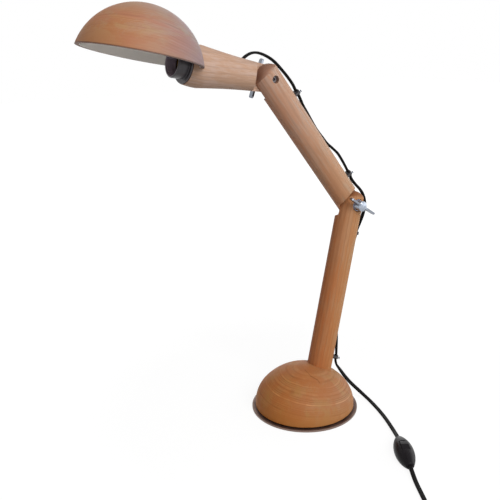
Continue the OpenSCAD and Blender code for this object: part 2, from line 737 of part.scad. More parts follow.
// Dished front, so that the screw shell stands on its rim and the contact lies below the shell
module lampholder_insert() {
    color([0.9, 0.9, 0.86]) on_head() difference() {
        translate([0, 0, holder_floor])
            cylinder(r = holder_r - holder_wall - fit, h = insert_front - holder_floor);
        translate([0, 0, insert_front - insert_dish])
            cylinder(d = bulb_bore_d + insert_dish, h = insert_dish + over);
        translate([0, 0, insert_front - contact_below - contact_h])
            cylinder(d = contact_d + 2 * fit, h = neck_len);
        for (side = [-1, 1]) translate([side * terminal_at, 0, holder_floor - over])
            cylinder(d = terminal_d + 2 * fit, h = terminal_h + over + fit);
    }
}

module screw_shell() {
    color([0.8, 0.65, 0.3]) on_head() difference() {
        translate([0, 0, insert_front])
            cylinder(d = bulb_bore_d + 2 * shell_wall, h = shell_front - insert_front);
        translate([0, 0, insert_front - over]) cylinder(d = bulb_bore_d, h = neck_len);
    }
}

module centre_contact() {
    color([0.8, 0.65, 0.3]) on_head() translate([0, 0, insert_front - contact_below - contact_h])
        cylinder(d = contact_d, h = contact_h);
}

module terminal_screws() {
    color([0.8, 0.65, 0.3]) on_head() for (side = [-1, 1])
        translate([side * terminal_at, 0, holder_floor]) cylinder(d = terminal_d, h = terminal_h);
}

module elbow_bolt() {
    color([0.75, 0.76, 0.78]) translate(elbow) rotate([0, -upper_lean, 0]) bolt(1, seat_y);
}

module elbow_washer() {
    color([0.75, 0.76, 0.78]) translate(elbow) washer(-1, seat_y);
}

module elbow_wing_nut() {
    color([0.8, 0.81, 0.83]) translate(elbow - [0, seat_y + washer_t + nut_gap, 0])
        rotate([90, 0, 0]) wing_nut(elbow_wing_turn);
}

module wrist_bolt() {
    color([0.75, 0.76, 0.78]) translate(wrist) rotate([0, -upper_lean, 0]) bolt(-1, neck_seat_y);
}

module wrist_washer() {
    color([0.75, 0.76, 0.78]) translate(wrist) washer(1, neck_seat_y);
}

module wrist_wing_nut() {
    color([0.8, 0.81, 0.83]) translate(wrist + [0, neck_seat_y + washer_t + nut_gap, 0])
        rotate([-90, 0, 0]) wing_nut(wrist_wing_turn);
}

module upper_clips() {
    color([0.12, 0.1, 0.09]) on_upper() for (place = upper_clips_at) clip(place);
}

module upper_nails() {
    color([0.6, 0.6, 0.62]) on_upper() for (place = upper_clips_at) nail(place);
}

module lower_clips() {
    color([0.12, 0.1, 0.09]) on_lower() for (place = lower_clips_at) clip(place);
}

module lower_nails() {
    color([0.6, 0.6, 0.62]) on_lower() for (place = lower_clips_at) nail(place);
}

module cord_neck() {
    color([0.07, 0.07, 0.07]) tube(route, 0, route_wrist);
}

module cord_wrist_loop() {
    color([0.07, 0.07, 0.07]) tube(route, route_wrist, route_upper);
}

module cord_upper() {
    color([0.07, 0.07, 0.07]) tube(route, route_upper, route_elbow);
}

module cord_elbow_loop() {
    color([0.07, 0.07, 0.07]) tube(route, route_elbow, route_lower);
}

module cord_lower() {
    color([0.07, 0.07, 0.07]) tube(route, route_lower, route_free);
}

module cord_free() {
    color([0.07, 0.07, 0.07]) tube(route, route_free, len(route) - 1);
}

// Turned oval of the switch lying along X, flat underneath
module switch_oval() {
    intersection() {
        translate([0, 0, switch_axis_z]) rotate([0, 90, 0]) rotate_extrude() intersection() {
            translate([switch_w / 2 - switch_bow_r, 0]) circle(r = switch_bow_r);
            translate([0, -switch_l / 2]) square([switch_w, switch_l]);
        }
        translate([-switch_l, -switch_w, 0]) cube([2 * switch_l, 2 * switch_w, 2 * switch_w]);
    }
}

module switch_screw_places() {
    for (side = [-1, 1]) translate([side * switch_screw_at, 0, 0]) children();
}

module switch_base() {
    color([0.04, 0.04, 0.04]) on_switch() difference() {
        switch_oval();
        translate([-switch_l, -switch_w, switch_axis_z]) cube([2 * switch_l, 2 * switch_w, switch_w]);
        switch_screw_places() {
            translate([0, 0, -over])
                cylinder(d = switch_screw_head_d + 2 * fit, h = switch_screw_seat + over);
            cylinder(d = switch_screw_d + 2 * fit, h = switch_screw_top);
        }
    }
}

module switch_cover() {
    color([0.04, 0.04, 0.04]) on_switch() difference() {
        switch_oval();
        translate([-switch_l, -switch_w, -switch_w + switch_axis_z])
            cube([2 * switch_l, 2 * switch_w, switch_w]);
        translate([-window_l / 2, -window_w / 2, 0]) cube([window_l, window_w, 2 * switch_w]);
        translate([0, 0, rocker_pivot_z]) cross_bar(rocker_pin_d / 2 + run_fit, rocker_pin_l + 4 * run_fit);
        switch_screw_places() cylinder(d = switch_screw_d + 2 * fit, h = switch_screw_top + fit);
    }
}

module switch_rocker() {
    half = rocker_l / 2;
    color([0.06, 0.06, 0.06]) on_switch() translate([0, 0, rocker_pivot_z]) rotate([0, rocker_tilt, 0]) {
        rotate([90, 0, 0]) linear_extrude(height = rocker_w, center = true)
            polygon([[-half, rocker_low], [half, rocker_low], [half, rocker_edge], [0, rocker_ridge],
                [-half, rocker_edge]]);
        cross_bar(rocker_pin_d / 2, rocker_pin_l);
    }
}

module switch_screws() {
    color([0.7, 0.7, 0.72]) on_switch() switch_screw_places() {
        translate([0, 0, switch_screw_seat - switch_screw_head_h])
            cylinder(d = switch_screw_head_d, h = switch_screw_head_h);
        translate([0, 0, switch_screw_seat - switch_screw_head_h])
            cylinder(d = switch_screw_d, h = switch_screw_top - switch_screw_seat + switch_screw_head_h);
    }
}

module cord_tail() {
    color([0.07, 0.07, 0.07]) tube(tail_rings, 0, len(tail_rings) - 1);
}

module cord_coil() {
    color([0.07, 0.07, 0.07]) tube(coil_rings_all, 0, len(coil_rings_all) - 1);
}

// Band around both layers of the coil
module coil_tie() {
    inner_r = coil_r - coil_pitch * coil_rings / rings_per_turn / 2 - cord_t / 2 - tie_gap;
    outer_r = coil_r + cord_t / 2 + tie_gap;
    top = coil_low_z + layer_pitch + cord_w / 2 + tie_gap;
    color([0.1, 0.1, 0.1]) translate(coil_pos) rotate([0, 0, tie_turn]) difference() {
        translate([inner_r - tie_t, -tie_w / 2, 0])
            cube([outer_r - inner_r + 2 * tie_t, tie_w, top + tie_t]);
        translate([inner_r, -tie_w, tie_t]) cube([outer_r - inner_r, 2 * tie_w, top - tie_t]);
    }
}

module on_plug() {
    translate(plug_pos) rotate([0, 0, coil_end_angle + 90]) children();
}

module plug_body() {
    color([0.05, 0.05, 0.05]) on_plug() difference() {
        linear_extrude(height = plug_t)
            polygon([[0, -plug_nose_w / 2], [plug_l * 0.4, -plug_nose_w / 2 - 1], [plug_l * 0.75, -plug_w / 2],
                [plug_l, -plug_w / 2], [plug_l, plug_w / 2], [plug_l * 0.75, plug_w / 2],
                [plug_l * 0.4, plug_nose_w / 2 + 1], [0, plug_nose_w / 2]]);
        for (side = [-1, 1]) translate([plug_l - pin_root, side * pin_gap / 2, plug_t / 2]) rotate([0, 90, 0])
            cylinder(d = pin_d + 2 * fit, h = plug_l);
    }
}

module plug_pins() {
    color([0.8, 0.75, 0.6]) on_plug() for (side = [-1, 1])
        translate([plug_l - pin_root, side * pin_gap / 2, plug_t / 2]) rotate([0, 90, 0])
            cylinder(d = pin_d, h = pin_root + pin_l);
}

base_plate();
plate_screws();
base_dome();
post_screw();
lower_arm();
upper_arm();
neck();
shade();
lampholder_body();
lampholder_insert();
screw_shell();
centre_contact();
terminal_screws();
elbow_bolt();
elbow_washer();
elbow_wing_nut();
wrist_bolt();
wrist_washer();
wrist_wing_nut();
upper_clips();
upper_nails();
lower_clips();
lower_nails();
cord_neck();
cord_wrist_loop();
cord_upper();
cord_elbow_loop();
cord_lower();
cord_free();
switch_base();
switch_cover();
switch_rocker();
switch_screws();
cord_tail();
cord_coil();
coil_tie();
plug_body();
plug_pins();
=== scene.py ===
"""Desk lamp with a turned base, two round wooden arms, a bowl shade and a flat cord with a switch."""
import json
import math
from math import cos, pi, radians, sin

import bmesh
import bpy
from bpy.props import FloatProperty, FloatVectorProperty, PointerProperty
from mathutils import Matrix, Vector


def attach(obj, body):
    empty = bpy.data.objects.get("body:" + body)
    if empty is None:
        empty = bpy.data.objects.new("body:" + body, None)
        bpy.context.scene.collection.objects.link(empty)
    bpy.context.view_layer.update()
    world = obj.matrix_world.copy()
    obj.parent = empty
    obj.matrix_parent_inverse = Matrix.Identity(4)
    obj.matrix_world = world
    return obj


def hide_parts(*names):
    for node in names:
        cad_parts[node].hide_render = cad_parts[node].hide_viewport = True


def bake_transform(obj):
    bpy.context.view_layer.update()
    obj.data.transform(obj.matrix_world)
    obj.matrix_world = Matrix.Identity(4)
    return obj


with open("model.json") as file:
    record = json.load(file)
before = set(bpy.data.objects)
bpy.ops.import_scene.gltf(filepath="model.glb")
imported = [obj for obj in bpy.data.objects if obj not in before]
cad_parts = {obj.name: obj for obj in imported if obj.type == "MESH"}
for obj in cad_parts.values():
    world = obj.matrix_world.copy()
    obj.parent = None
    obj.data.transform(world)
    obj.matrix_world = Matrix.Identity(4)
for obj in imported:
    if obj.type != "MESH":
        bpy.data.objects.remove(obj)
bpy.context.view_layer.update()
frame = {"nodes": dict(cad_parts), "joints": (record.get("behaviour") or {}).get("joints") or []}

bl_info = {
    "name": "Wooden desk lamp",
    "version": (1, 0, 0),
    "blender": (4, 5, 0),
    "location": "View3D > Sidebar > Lamp",
    "description": "Dresses the desk lamp's solids with turned wood, metal, plastic and cord",
    "category": "Object",
}


def turn(angle, axis):
    """Turn about an axis, in degrees"""
    return Matrix.Rotation(radians(angle), 4, axis)


def shift(x, y, z):
    return Matrix.Translation((x, y, z))


# Places and frames of the pieces, in millimetres and degrees

MM = 0.001
Z = Vector((0, 0, 1))
AS_DRAWN = Matrix.Identity(4)
JOINTS = {j["name"]: Vector(j["pos_m"]) / MM for j in frame["joints"]}
ELBOW, WRIST = JOINTS["elbow_hinge"], JOINTS["wrist_hinge"]
FOOT = Vector((14.5, 0, 0))
LOWER_LEN, UPPER_LEN = (ELBOW - FOOT).length, (WRIST - ELBOW).length
LOWER_LEAN, UPPER_LEAN, NECK_RISE = 13, 38, 10.8
SHADE_AT, SHADE_TILT = 170.2, 2.5
ON_LOWER = shift(*FOOT) @ turn(LOWER_LEAN, "Y")
ON_UPPER = shift(*ELBOW) @ turn(-UPPER_LEAN, "Y")
ON_HEAD = shift(*WRIST) @ turn(NECK_RISE - 90, "Y")
ON_SHADE = ON_HEAD @ shift(0, 0, SHADE_AT) @ turn(90 + SHADE_TILT, "Y")
ON_SWITCH = shift(21, -177, 0) @ turn(238, "Z")
# Clips: place up the arm, turn toward -Y and side of the nail
UPPER_CLIPS = [(UPPER_LEN - 39, 12, -1), (41, 16, -1)]
LOWER_CLIPS = [(LOWER_LEN - 41, 0, 1), (73, 27, -1)]

# Sizes that pieces share
FAR = 40
SOCKET_Z = 22
TONGUE_ROOM, LAP_GAP = 0.9, 0.2
BOLT_R, HEAD_R, HEAD_DEPTH = 3.08, 4.7, 10
SEAT_R, SEAT_DEPTH = 8.8, 2.2
NECK_THIN, NECK_THICK, NECK_END = 32.6 / 2, 48.4 / 2, 45 / 2
CORD_EXIT = 39
CLIP_CORD = 4.4
SWITCH_MID = 6
PLUG_MID = 6.85
COIL_MID, COIL_R, COIL_START, COIL_RINGS, COIL_TURN = Vector((-30, -327, 0)), 36, 146, 152, 24
COIL_END = (COIL_START + 360 * COIL_RINGS / COIL_TURN) % 360


def length(name, what, default):
    """A length property in metres"""
    return FloatProperty(name=name, description=what, default=default, unit="LENGTH")


def colour(name, what, red, green, blue):
    """A colour property from 0 to 255 display values"""
    def linear(value):
        value /= 255
        return value / 12.92 if value <= 0.04045 else ((value + 0.055) / 1.055) ** 2.4
    return FloatVectorProperty(name=name, description=what, subtype="COLOR", size=3, min=0, max=1,
                               default=(linear(red), linear(green), linear(blue)))


class LampSizes(bpy.types.PropertyGroup):
    """Sizes of the lamp's pieces"""
    arm_diameter: length("Arm diameter", "Diameter of the round arms", 0.035)
    plate_diameter: length("Plate diameter", "Diameter of the foot plate", 0.1506)
    dome_diameter: length("Base diameter", "Widest diameter of the turned base", 0.1406)
    dome_height: length("Base height", "Height of the rounded part of the base", 0.056)
    shade_diameter: length("Shade diameter", "Diameter across the shade's rim", 0.1402)
    shade_height: length("Shade height", "Height of the shade above its rim", 0.0554)
    shade_wall: length("Shade wall", "Wall thickness of the shade", 0.0045)
    neck_length: length("Neck length", "Length of the neck from the wrist pivot", 0.116)
    cord_width: length("Cord width", "Width of the flat cord", 0.0054)
    cord_thickness: length("Cord thickness", "Thickness of the flat cord", 0.0032)
    edge: length("Edge rounding", "Rounding of the wooden edges", 0.0005)
    wing_span: length("Wing span", "Tip to tip span of a wing nut", 0.05)


class LampColours(bpy.types.PropertyGroup):
    """Colours of the lamp's materials"""
    base_wood: colour("Base wood", "Main tone of the turned base", 171, 113, 70)
    lower_wood: colour("Lower arm wood", "Main tone of the lower arm", 168, 113, 69)
    upper_wood: colour("Upper arm wood", "Main tone of the upper arm", 175, 137, 115)
    neck_wood: colour("Neck wood", "Main tone of the neck", 180, 150, 132)
    shade_wood: colour("Shade wood", "Main tone of the shade's outside", 150, 122, 106)
    shade_paint: colour("Shade paint", "Tone of the shade's inside", 238, 232, 225)
    steel: colour("Foot steel", "Tone of the foot plate", 134, 114, 105)
    zinc: colour("Zinc", "Tone of the nuts, bolts and screws", 162, 170, 183)
    cord: colour("Cord", "Tone of the flat cord", 17, 16, 16)
    plastic: colour("Plastic", "Tone of the switch, plug and lampholder", 22, 19, 22)
    insert: colour("Insert", "Tone of the lampholder's insert", 226, 222, 208)
    brass: colour("Brass", "Tone of the screw shell and contacts", 150, 118, 62)


def mm(name):
    """One of the lamp's sizes in millimetres"""
    return getattr(bpy.context.scene.lamp_sizes, name) / MM


# Mesh helpers, in millimetres until a piece is settled

def link(name, data):
    """A new object in the scene"""
    ob = bpy.data.objects.new(name, data)
    bpy.context.scene.collection.objects.link(ob)
    return ob


def new_object(bm, name):
    bmesh.ops.recalc_face_normals(bm, faces=bm.faces)
    mesh = bpy.data.meshes.new(name)
    bm.to_mesh(mesh)
    bm.free()
    return link(name, mesh)


def drop(ob):
    mesh = ob.data
    bpy.data.objects.remove(ob)
    bpy.data.meshes.remove(mesh)


def bake(ob):
    """Turn the object's modifiers into plain mesh"""
    graph = bpy.context.evaluated_depsgraph_get()
    mesh = bpy.data.meshes.new_from_object(ob.evaluated_get(graph))
    old = ob.data
    ob.modifiers.clear()
    ob.data = mesh
    mesh.name = ob.name
    bpy.data.meshes.remove(old)


def arc(cx, cy, r, start, end, steps):
    """Points on an arc, angles in degrees"""
    angles = [radians(start + (end - start) * k / steps) for k in range(steps + 1)]
    return [(cx + r * cos(a), cy + r * sin(a)) for a in angles]


def lathe(profile, steps, closed=False):
    """Solid turned round Z from (radius, height) points"""
    bm = bmesh.new()
    rows = []
    for r, z in profile:
        angles = [2 * pi * k / steps for k in range(1 if r < 1e-6 else steps)]
        rows.append([bm.verts.new((r * cos(a), r * sin(a), z)) for a in angles])
    for a, b in zip(rows, rows[1:] + (rows[:1] if closed else [])):
        for k in range(steps):
            n = k + 1
            corners = [a[k % len(a)], a[n % len(a)], b[n % len(b)], b[k % len(b)]]
            corners = list(dict.fromkeys(corners))
            if len(corners) > 2:
                bm.faces.new(corners)
    return bm


def prism(outline, low, high, along="Y"):
    """Outline in X and Z drawn along Y, or in X and Y drawn along Z"""
    bm = bmesh.new()
    ends = [[bm.verts.new((u, depth, v) if along == "Y" else (u, v, depth)) for u, v in outline]
            for depth in (low, high)]
    for end in ends:
        bm.faces.new(end)
    for k in range(len(outline)):
        n = (k + 1) % len(outline)
        bm.faces.new((ends[0][k], ends[0][n], ends[1][n], ends[1][k]))
    return bm


def box(low, high):
    corners = [(low[0], low[1]), (high[0], low[1]), (high[0], high[1]), (low[0], high[1])]
    return prism(corners, low[2], high[2], "Z")


def bar(r, low, high, steps=96, along="Z", at=(0, 0)):
    """Round bar along Z or Y"""
    return prism(arc(*at, r, 0, 360 - 360 / steps, steps - 1), low, high, along)


def cross(r, low, high, steps, z=0):
    """Round bar across an arm, along its bolt"""
    return bar(r, low, high, steps, "Y", (0, z))


def moved(bm, matrix):
    bmesh.ops.transform(bm, matrix=matrix, verts=bm.verts)
    return bm


def trimmed(bm, point, normal):
    """What is left of a solid in front of a plane"""
    bmesh.ops.bisect_plane(bm, geom=bm.verts[:] + bm.edges[:] + bm.faces[:], plane_co=point, plane_no=normal,
                           clear_inner=True)
    bmesh.ops.holes_fill(bm, edges=[e for e in bm.edges if e.is_boundary])
    return bm


def cut(ob, *tools, operation="DIFFERENCE"):
    """Cut the tools from the object in turn, or join or intersect it with them"""
    for bm in tools:
        tool = new_object(bm, "tool")
        mod = ob.modifiers.new("cut", "BOOLEAN")
        mod.operation = operation
        mod.solver = "EXACT"
        mod.object = tool
        bake(ob)
        drop(tool)


def smooth(ob, angle):
    """Shade smooth, with edges over the angle kept sharp"""
    ob.data.shade_smooth()
    ob.data.set_sharp_from_angle(angle=radians(angle))


def polish(ob, edge, segments=2, angle=32, smooth_angle=38):
    """Clean the mesh, round its sharp edges and shade it smooth"""
    bm = bmesh.new()
    bm.from_mesh(ob.data)
    bmesh.ops.remove_doubles(bm, verts=bm.verts, dist=0.02)
    bmesh.ops.dissolve_degenerate(bm, dist=0.01, edges=bm.edges)
    bmesh.ops.recalc_face_normals(bm, faces=bm.faces)
    bm.to_mesh(ob.data)
    bm.free()
    if edge:
        mod = ob.modifiers.new("edge", "BEVEL")
        mod.width = edge
        mod.segments = segments
        mod.limit_method = "ANGLE"
        mod.angle_limit = radians(angle)
        mod.use_clamp_overlap = True
        bake(ob)
    smooth(ob, smooth_angle)
    mod = ob.modifiers.new("normals", "WEIGHTED_NORMAL")
    mod.keep_sharp = True
    bake(ob)


def settle(ob, matrix, finish, body, slot, *nodes):
    """Put a piece in its place in metres, with its materials, its body and the solids it stands for"""
    mesh = ob.data
    mesh.transform(Matrix.Scale(MM, 4) @ matrix)
    mesh.update()
    finishes = [finish] if isinstance(finish, str) else finish
    picks = [min(face.material_index, len(finishes) - 1) for face in mesh.polygons]
    mesh.materials.clear()
    for name in finishes:
        mesh.materials.append(MATERIALS[name])
    mesh.polygons.foreach_set("material_index", picks)
    if body:
        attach(ob, body)
    if nodes:
        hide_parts(*nodes)


def settle_nodes(finish, *nodes):
    """Give solids that stay as they are their material"""
    for node in nodes:
        slots = frame["nodes"][node].data.materials
        if not len(slots):
            slots.append(None)
        for k in range(len(slots)):
            slots[k] = MATERIALS[finish]


# Node helpers

def feed(socket, value):
    """Link a socket to another one, or set it to a constant"""
    if isinstance(value, bpy.types.NodeSocket):
        socket.id_data.links.new(value, socket)
    elif socket.type == "RGBA":
        socket.default_value = (*value, 1)
    else:
        socket.default_value = value


def add_node(tree, kind, inputs=None, **settings):
    made = tree.nodes.new(kind)
    for key, value in settings.items():
        setattr(made, key, value)
    for key, value in (inputs or {}).items():
        feed(made.inputs[key], value)
    return made


class Shader:
    """A material's node tree with short calls for its nodes"""

    def __init__(self, name):
        self.material = bpy.data.materials.new(name)
        self.material.use_nodes = True
        self.tree = self.material.node_tree
        self.bsdf = self.tree.nodes["Principled BSDF"]
        source = self.node("ShaderNodeTexCoord")
        self.coords, self.normals = source.outputs["Object"], source.outputs["Normal"]

    def node(self, kind, inputs=None, **settings):
        return add_node(self.tree, kind, inputs, **settings)

    def local(self, matrix):
        """Object coordinates in the frame of a piece"""
        where, turned, _ = matrix.decompose()
        inputs = {"Vector": self.coords, "Location": where * MM, "Rotation": turned.to_euler()}
        return self.node("ShaderNodeMapping", inputs, vector_type="TEXTURE").outputs[0]

    def stretched(self, vector, scale):
        return self.node("ShaderNodeMapping", {"Vector": vector, "Scale": scale}).outputs[0]

    def noise(self, vector, scale, detail=3, rough=0.55, distortion=0):
        return self.node("ShaderNodeTexNoise", {"Vector": vector, "Scale": scale, "Detail": detail,
                                                "Roughness": rough, "Distortion": distortion}).outputs[0]

    def math(self, operation, a, b=0.0, clamp=False):
        return self.node("ShaderNodeMath", {0: a, 1: b}, operation=operation, use_clamp=clamp).outputs[0]

    def times(self, a, b):
        return self.math("MULTIPLY", a, b)

    def plus(self, a, b):
        return self.math("ADD", a, b)

    def vector(self, operation, a, b=(0, 0, 0)):
        """A vector operation's number, where it gives one, or its vector"""
        made = self.node("ShaderNodeVectorMath", {0: a, 1: b}, operation=operation)
        return made.outputs["Value" if operation in ("DOT_PRODUCT", "DISTANCE", "LENGTH") else 0]

    def parts(self, vector):
        return self.node("ShaderNodeSeparateXYZ", {0: vector}).outputs

    def span(self, value, low, high, out_low=0.0, out_high=1.0):
        return self.node("ShaderNodeMapRange", {"Value": value, "From Min": low, "From Max": high,
                                                "To Min": out_low, "To Max": out_high},
                         interpolation_type="SMOOTHSTEP").outputs[0]

    def mix(self, factor, a, b, blend="MIX"):
        made = self.node("ShaderNodeMix", {0: factor, 6: a, 7: b}, data_type="RGBA", blend_type=blend)
        return made.outputs[2]

    def over(self, body, tone, value, low, high, share, within=None):
        """Lay a tone over the body, up to a share of it, where the value passes from low to high"""
        factor = self.span(value, low, high, 0.0, share)
        if within is not None:
            factor = self.times(factor, within)
        return self.mix(factor, body, tone)

    def tint(self, body, share, first, last):
        """Multiply the body by a tint that goes from the first to the last"""
        return self.mix(1.0, body, self.mix(share, first, last), "MULTIPLY")

    def ramp(self, factor, *stops):
        made = self.node("ShaderNodeValToRGB", {0: factor})
        ramp = made.color_ramp
        while len(ramp.elements) < len(stops):
            ramp.elements.new(0.5)
        for element, (position, tone) in zip(ramp.elements, stops):
            element.position = position
            element.color = (*tone, 1)
        return made.outputs[0]

    def wave(self, vector, pitch, distortion, detail, detail_scale, kind="RINGS"):
        return self.node("ShaderNodeTexWave", {"Vector": vector, "Scale": 2 * pi / (20 * pitch),
                                               "Distortion": distortion, "Detail": detail,
                                               "Detail Scale": detail_scale},
                         wave_type=kind, rings_direction="Z", bands_direction="Z").outputs[1]

    def growth(self, at, lean, waver, sway, fine):
        """Level of leaning, wavering layers of wood, and the fine lines between them"""
        sways = self.times(self.math("SUBTRACT", self.noise(at, waver, 2), 0.5), sway)
        level = self.plus(self.vector("DOT_PRODUCT", at, lean), sways)
        lines = self.noise(self.node("ShaderNodeCombineXYZ", {2: level}).outputs[0], fine, 3, 0.75)
        return level, lines

    def stroke(self, vector, start, end, width):
        """1 on a line between two points, fading to 0 at the width"""
        line = Vector(end) - Vector(start)
        off = self.vector("SUBTRACT", vector, start)
        along = self.math("ADD", self.vector("DOT_PRODUCT", off, line / line.length_squared), 0.0, True)
        near = self.node("ShaderNodeVectorMath", {0: line, "Scale": along}, operation="SCALE").outputs[0]
        return self.span(self.vector("DISTANCE", off, near), width, width * 0.3)

    def bump(self, height, strength, distance):
        made = self.node("ShaderNodeBump", {"Height": height, "Strength": strength, "Distance": distance})
        feed(self.bsdf.inputs["Normal"], made.outputs[0])

    def finish(self, tone, rough, **constants):
        constants.update(Base_Color=tone, Roughness=rough)
        for key, value in constants.items():
            feed(self.bsdf.inputs[key.replace("_", " ")], value)
        return self.material


def scaled(tone, factor, tint=(1, 1, 1)):
    return tuple(min(1.0, c * factor * t) for c, t in zip(tone, tint))


# Materials

def wood(name, tone, matrix, warm=(1.06, 0.9, 0.74), pith=(0.03, 0.014, 0), depth=1.0, fibres=1.0,
         streaks=1.0, tints=None, shade_sheen_sides=None, marks=None):
    """Oiled wood: fine fibres along the piece, faint growth rings round an offset pith, pores and clouds"""
    s = Shader(name)
    tone = tuple(tone)
    at = s.local(matrix)
    drawn = s.stretched(at, (1, 1, 0.09))
    fibre = s.noise(s.stretched(at, (1, 1, 0.05)), 620, 3, 0.6, 0.2)
    streak = s.noise(drawn, 110, 4, 0.55, 0.8)
    cloud = s.noise(s.stretched(at, (1, 1, 0.5)), 42, 4, 0.6, 0.4)
    ring = s.wave(s.vector("ADD", drawn, pith), 0.0046, 2.6, 3, 1.6)
    grain = s.plus(s.times(streak, 0.3 * streaks), s.times(fibre, 0.42 * fibres))
    grain = s.plus(grain, s.times(cloud, 0.4))
    middle = 0.15 * streaks + 0.21 * fibres + 0.2
    body = s.ramp(s.span(grain, middle - 0.19, middle + 0.19),
                  (0.0, scaled(tone, 1 - 0.2 * depth, warm)), (0.4, scaled(tone, 1 - 0.05 * depth, warm)),
                  (0.65, tone), (1.0, scaled(tone, 1 + 0.12 * depth, (0.97, 1.01, 1.07))))
    fleck = s.span(s.noise(s.stretched(at, (1, 1, 0.035)), 2300, 2, 0.5), 0.62, 0.72)
    lines = s.times(s.span(ring, 0.74, 0.97, 0.0, 0.3 * streaks), s.span(cloud, 0.35, 0.6, 0.25, 1.0))
    body = s.mix(s.math("MAXIMUM", lines, s.times(fleck, 0.25)), body, scaled(tone, 0.5, warm))
    height = s.math("SUBTRACT", s.times(fibre, 0.5), s.times(fleck, 0.6))
    # Tint from the piece's low end to its high end: partly the wood's own tone, partly a painted sheen that
    # greys and lightens the high end
    if tints:
        reach, first, last = tints
        body = s.tint(body, s.span(s.parts(at)[2], 0.0, reach), first, last)
    # Painted shade and sheen across the piece: warmer and darker on one side, a greyer painted sheen on the
    # lit side
    if shade_sheen_sides:
        body = s.tint(body, s.span(s.vector("DOT_PRODUCT", at, (0.82, -0.56, 0)), -0.016, 0.016), *shade_sheen_sides)
    if marks:
        body, height = marks(s, at, tone, body, height)
    else:
        # End grain darker than side grain, made strong enough that it also serves as painted shade in the
        # knuckles' gaps
        facing = s.math("ABSOLUTE", s.vector("DOT_PRODUCT", s.normals, matrix.to_3x3() @ Z))
        body = s.over(body, scaled(tone, 0.4, (1.14, 0.84, 0.72)), facing, 0.22, 0.75, 0.78)
    s.bump(height, 0.16, 0.0003)
    return s.finish(body, s.span(streak, 0.25, 0.75, 0.66, 0.54), Specular_IOR_Level=0.22)


def turned_marks(s, at, tone, body, height):
    """Growth rings cut across by the turned base, some pale, a painted sheen greying one side against a
    warmer other side, a stain and a drying crack
    """
    level, lines = s.growth(at, (0.1114, -0.0645, 1), 28, 0.003, 430)
    fade = s.span(s.noise(at, 24, 2), 0.36, 0.62, 0.25, 1.0)
    body = s.over(body, scaled(tone, 0.6, (1.06, 0.9, 0.78)), lines, 0.5, 0.57, 0.8, fade)
    body = s.over(body, scaled(tone, 1.26, (1, 1.05, 1.12)), lines, 0.48, 0.41, 0.7, fade)
    for middle, width, share in ((0.0335, 0.0012, 0.6), (0.0312, 0.0009, 0.45), (0.0445, 0.0009, 0.35),
                                 (0.0505, 0.001, 0.35), (0.0152, 0.0009, 0.3)):
        off = s.math("ABSOLUTE", s.math("SUBTRACT", level, middle))
        body = s.over(body, scaled(tone, 1.5, (1, 1.06, 1.16)), off, width, width * 0.25, share, fade)
    clouds = s.noise(at, 34, 4, 0.6, 0.6)
    body = s.over(body, scaled(tone, 0.88, (1.1, 0.84, 0.68)), clouds, 0.51, 0.6, 0.5)
    body = s.over(body, scaled(tone, 1.02, (0.94, 1.07, 0.88)), clouds, 0.49, 0.4, 0.5)
    body = s.over(body, scaled(tone, 1.06, (1.1, 0.98, 0.62)), s.parts(at)[2], 0.03, 0.006, 0.6)
    # Painted sheen and shade across the base: greyer toward the lit side, warmer toward the other
    across = s.vector("DOT_PRODUCT", at, (0.831, -0.556, 0))
    body = s.tint(body, s.span(across, -0.07, 0.07), (1.08, 1.04, 0.76), (0.82, 0.99, 1.26))
    crack = 0.0
    path = ((-0.0068, -0.0102, 0.0617), (-0.0079, -0.0247, 0.0583), (-0.0034, -0.0339, 0.0549),
            (-0.0033, -0.0393, 0.0521))
    for start, end, width in zip(path, path[1:], (0.0009, 0.0015, 0.0009)):
        crack = s.math("MAXIMUM", s.stroke(at, start, end, width), crack)
    body = s.mix(s.times(crack, 0.5), body, scaled(tone, 0.3, (1.1, 0.9, 0.7)))
    knot = s.vector("DISTANCE", at, (-0.0418, -0.0262, 0.0453))
    body = s.over(body, scaled(tone, 0.55, (1.1, 0.9, 0.7)), knot, 0.006, 0.001, 0.4)
    tool_marks = s.wave(at, 0.0012, 0.5, 1, 1, "BANDS")
    height = s.plus(s.times(height, 0.5), s.times(tool_marks, 0.2))
    return body, s.math("SUBTRACT", height, s.times(crack, 1.5))


def bowl_marks(s, at, tone, body, height):
    """Painted shade and sheen: orange at the bowl's front to pink-grey at its back, darker low and greyer
    high; cloudy patches, faint lines and a dark rim
    """
    at = s.local(ON_SHADE)
    across, _, low = s.parts(at)
    clouds = s.noise(s.stretched(at, (0.6, 0.6, 1.6)), 34, 4, 0.6, 0.5)
    body = s.over(body, scaled(tone, 0.88, (1.14, 0.88, 0.84)), clouds, 0.51, 0.6, 0.75)
    body = s.over(body, scaled(tone, 1.08, (0.95, 1.06, 0.94)), clouds, 0.49, 0.4, 0.75)
    _, lines = s.growth(at, (0.12, 0.2, 1), 22, 0.006, 380)
    patch = s.span(s.noise(at, 45, 3), 0.4, 0.62, 0.2, 1.0)
    body = s.over(body, scaled(tone, 0.62, (1.1, 0.88, 0.84)), lines, 0.5, 0.58, 0.5, patch)
    body = s.over(body, scaled(tone, 1.24, (1, 1.03, 1.06)), lines, 0.48, 0.41, 0.4, patch)
    # Painted shade low on the bowl and a painted greyer sheen high on it
    body = s.over(body, scaled(tone, 0.84, (1.1, 0.9, 0.84)), low, 0.026, 0.004, 0.6)
    body = s.over(body, scaled(tone, 1.0, (1.0, 1.1, 1.18)), low, 0.03, 0.054, 0.6)
    # Painted shade and sheen across the bowl: orange at its front, pink-grey at its back
    body = s.tint(body, s.span(across, -0.066, 0.066), (1.38, 1.07, 0.7), (0.78, 1.04, 1.55))
    body = s.over(body, scaled(tone, 0.26, (1.1, 0.92, 0.9)), low, 0.0016, 0.0006, 0.8)
    return body, s.times(height, 0.6)


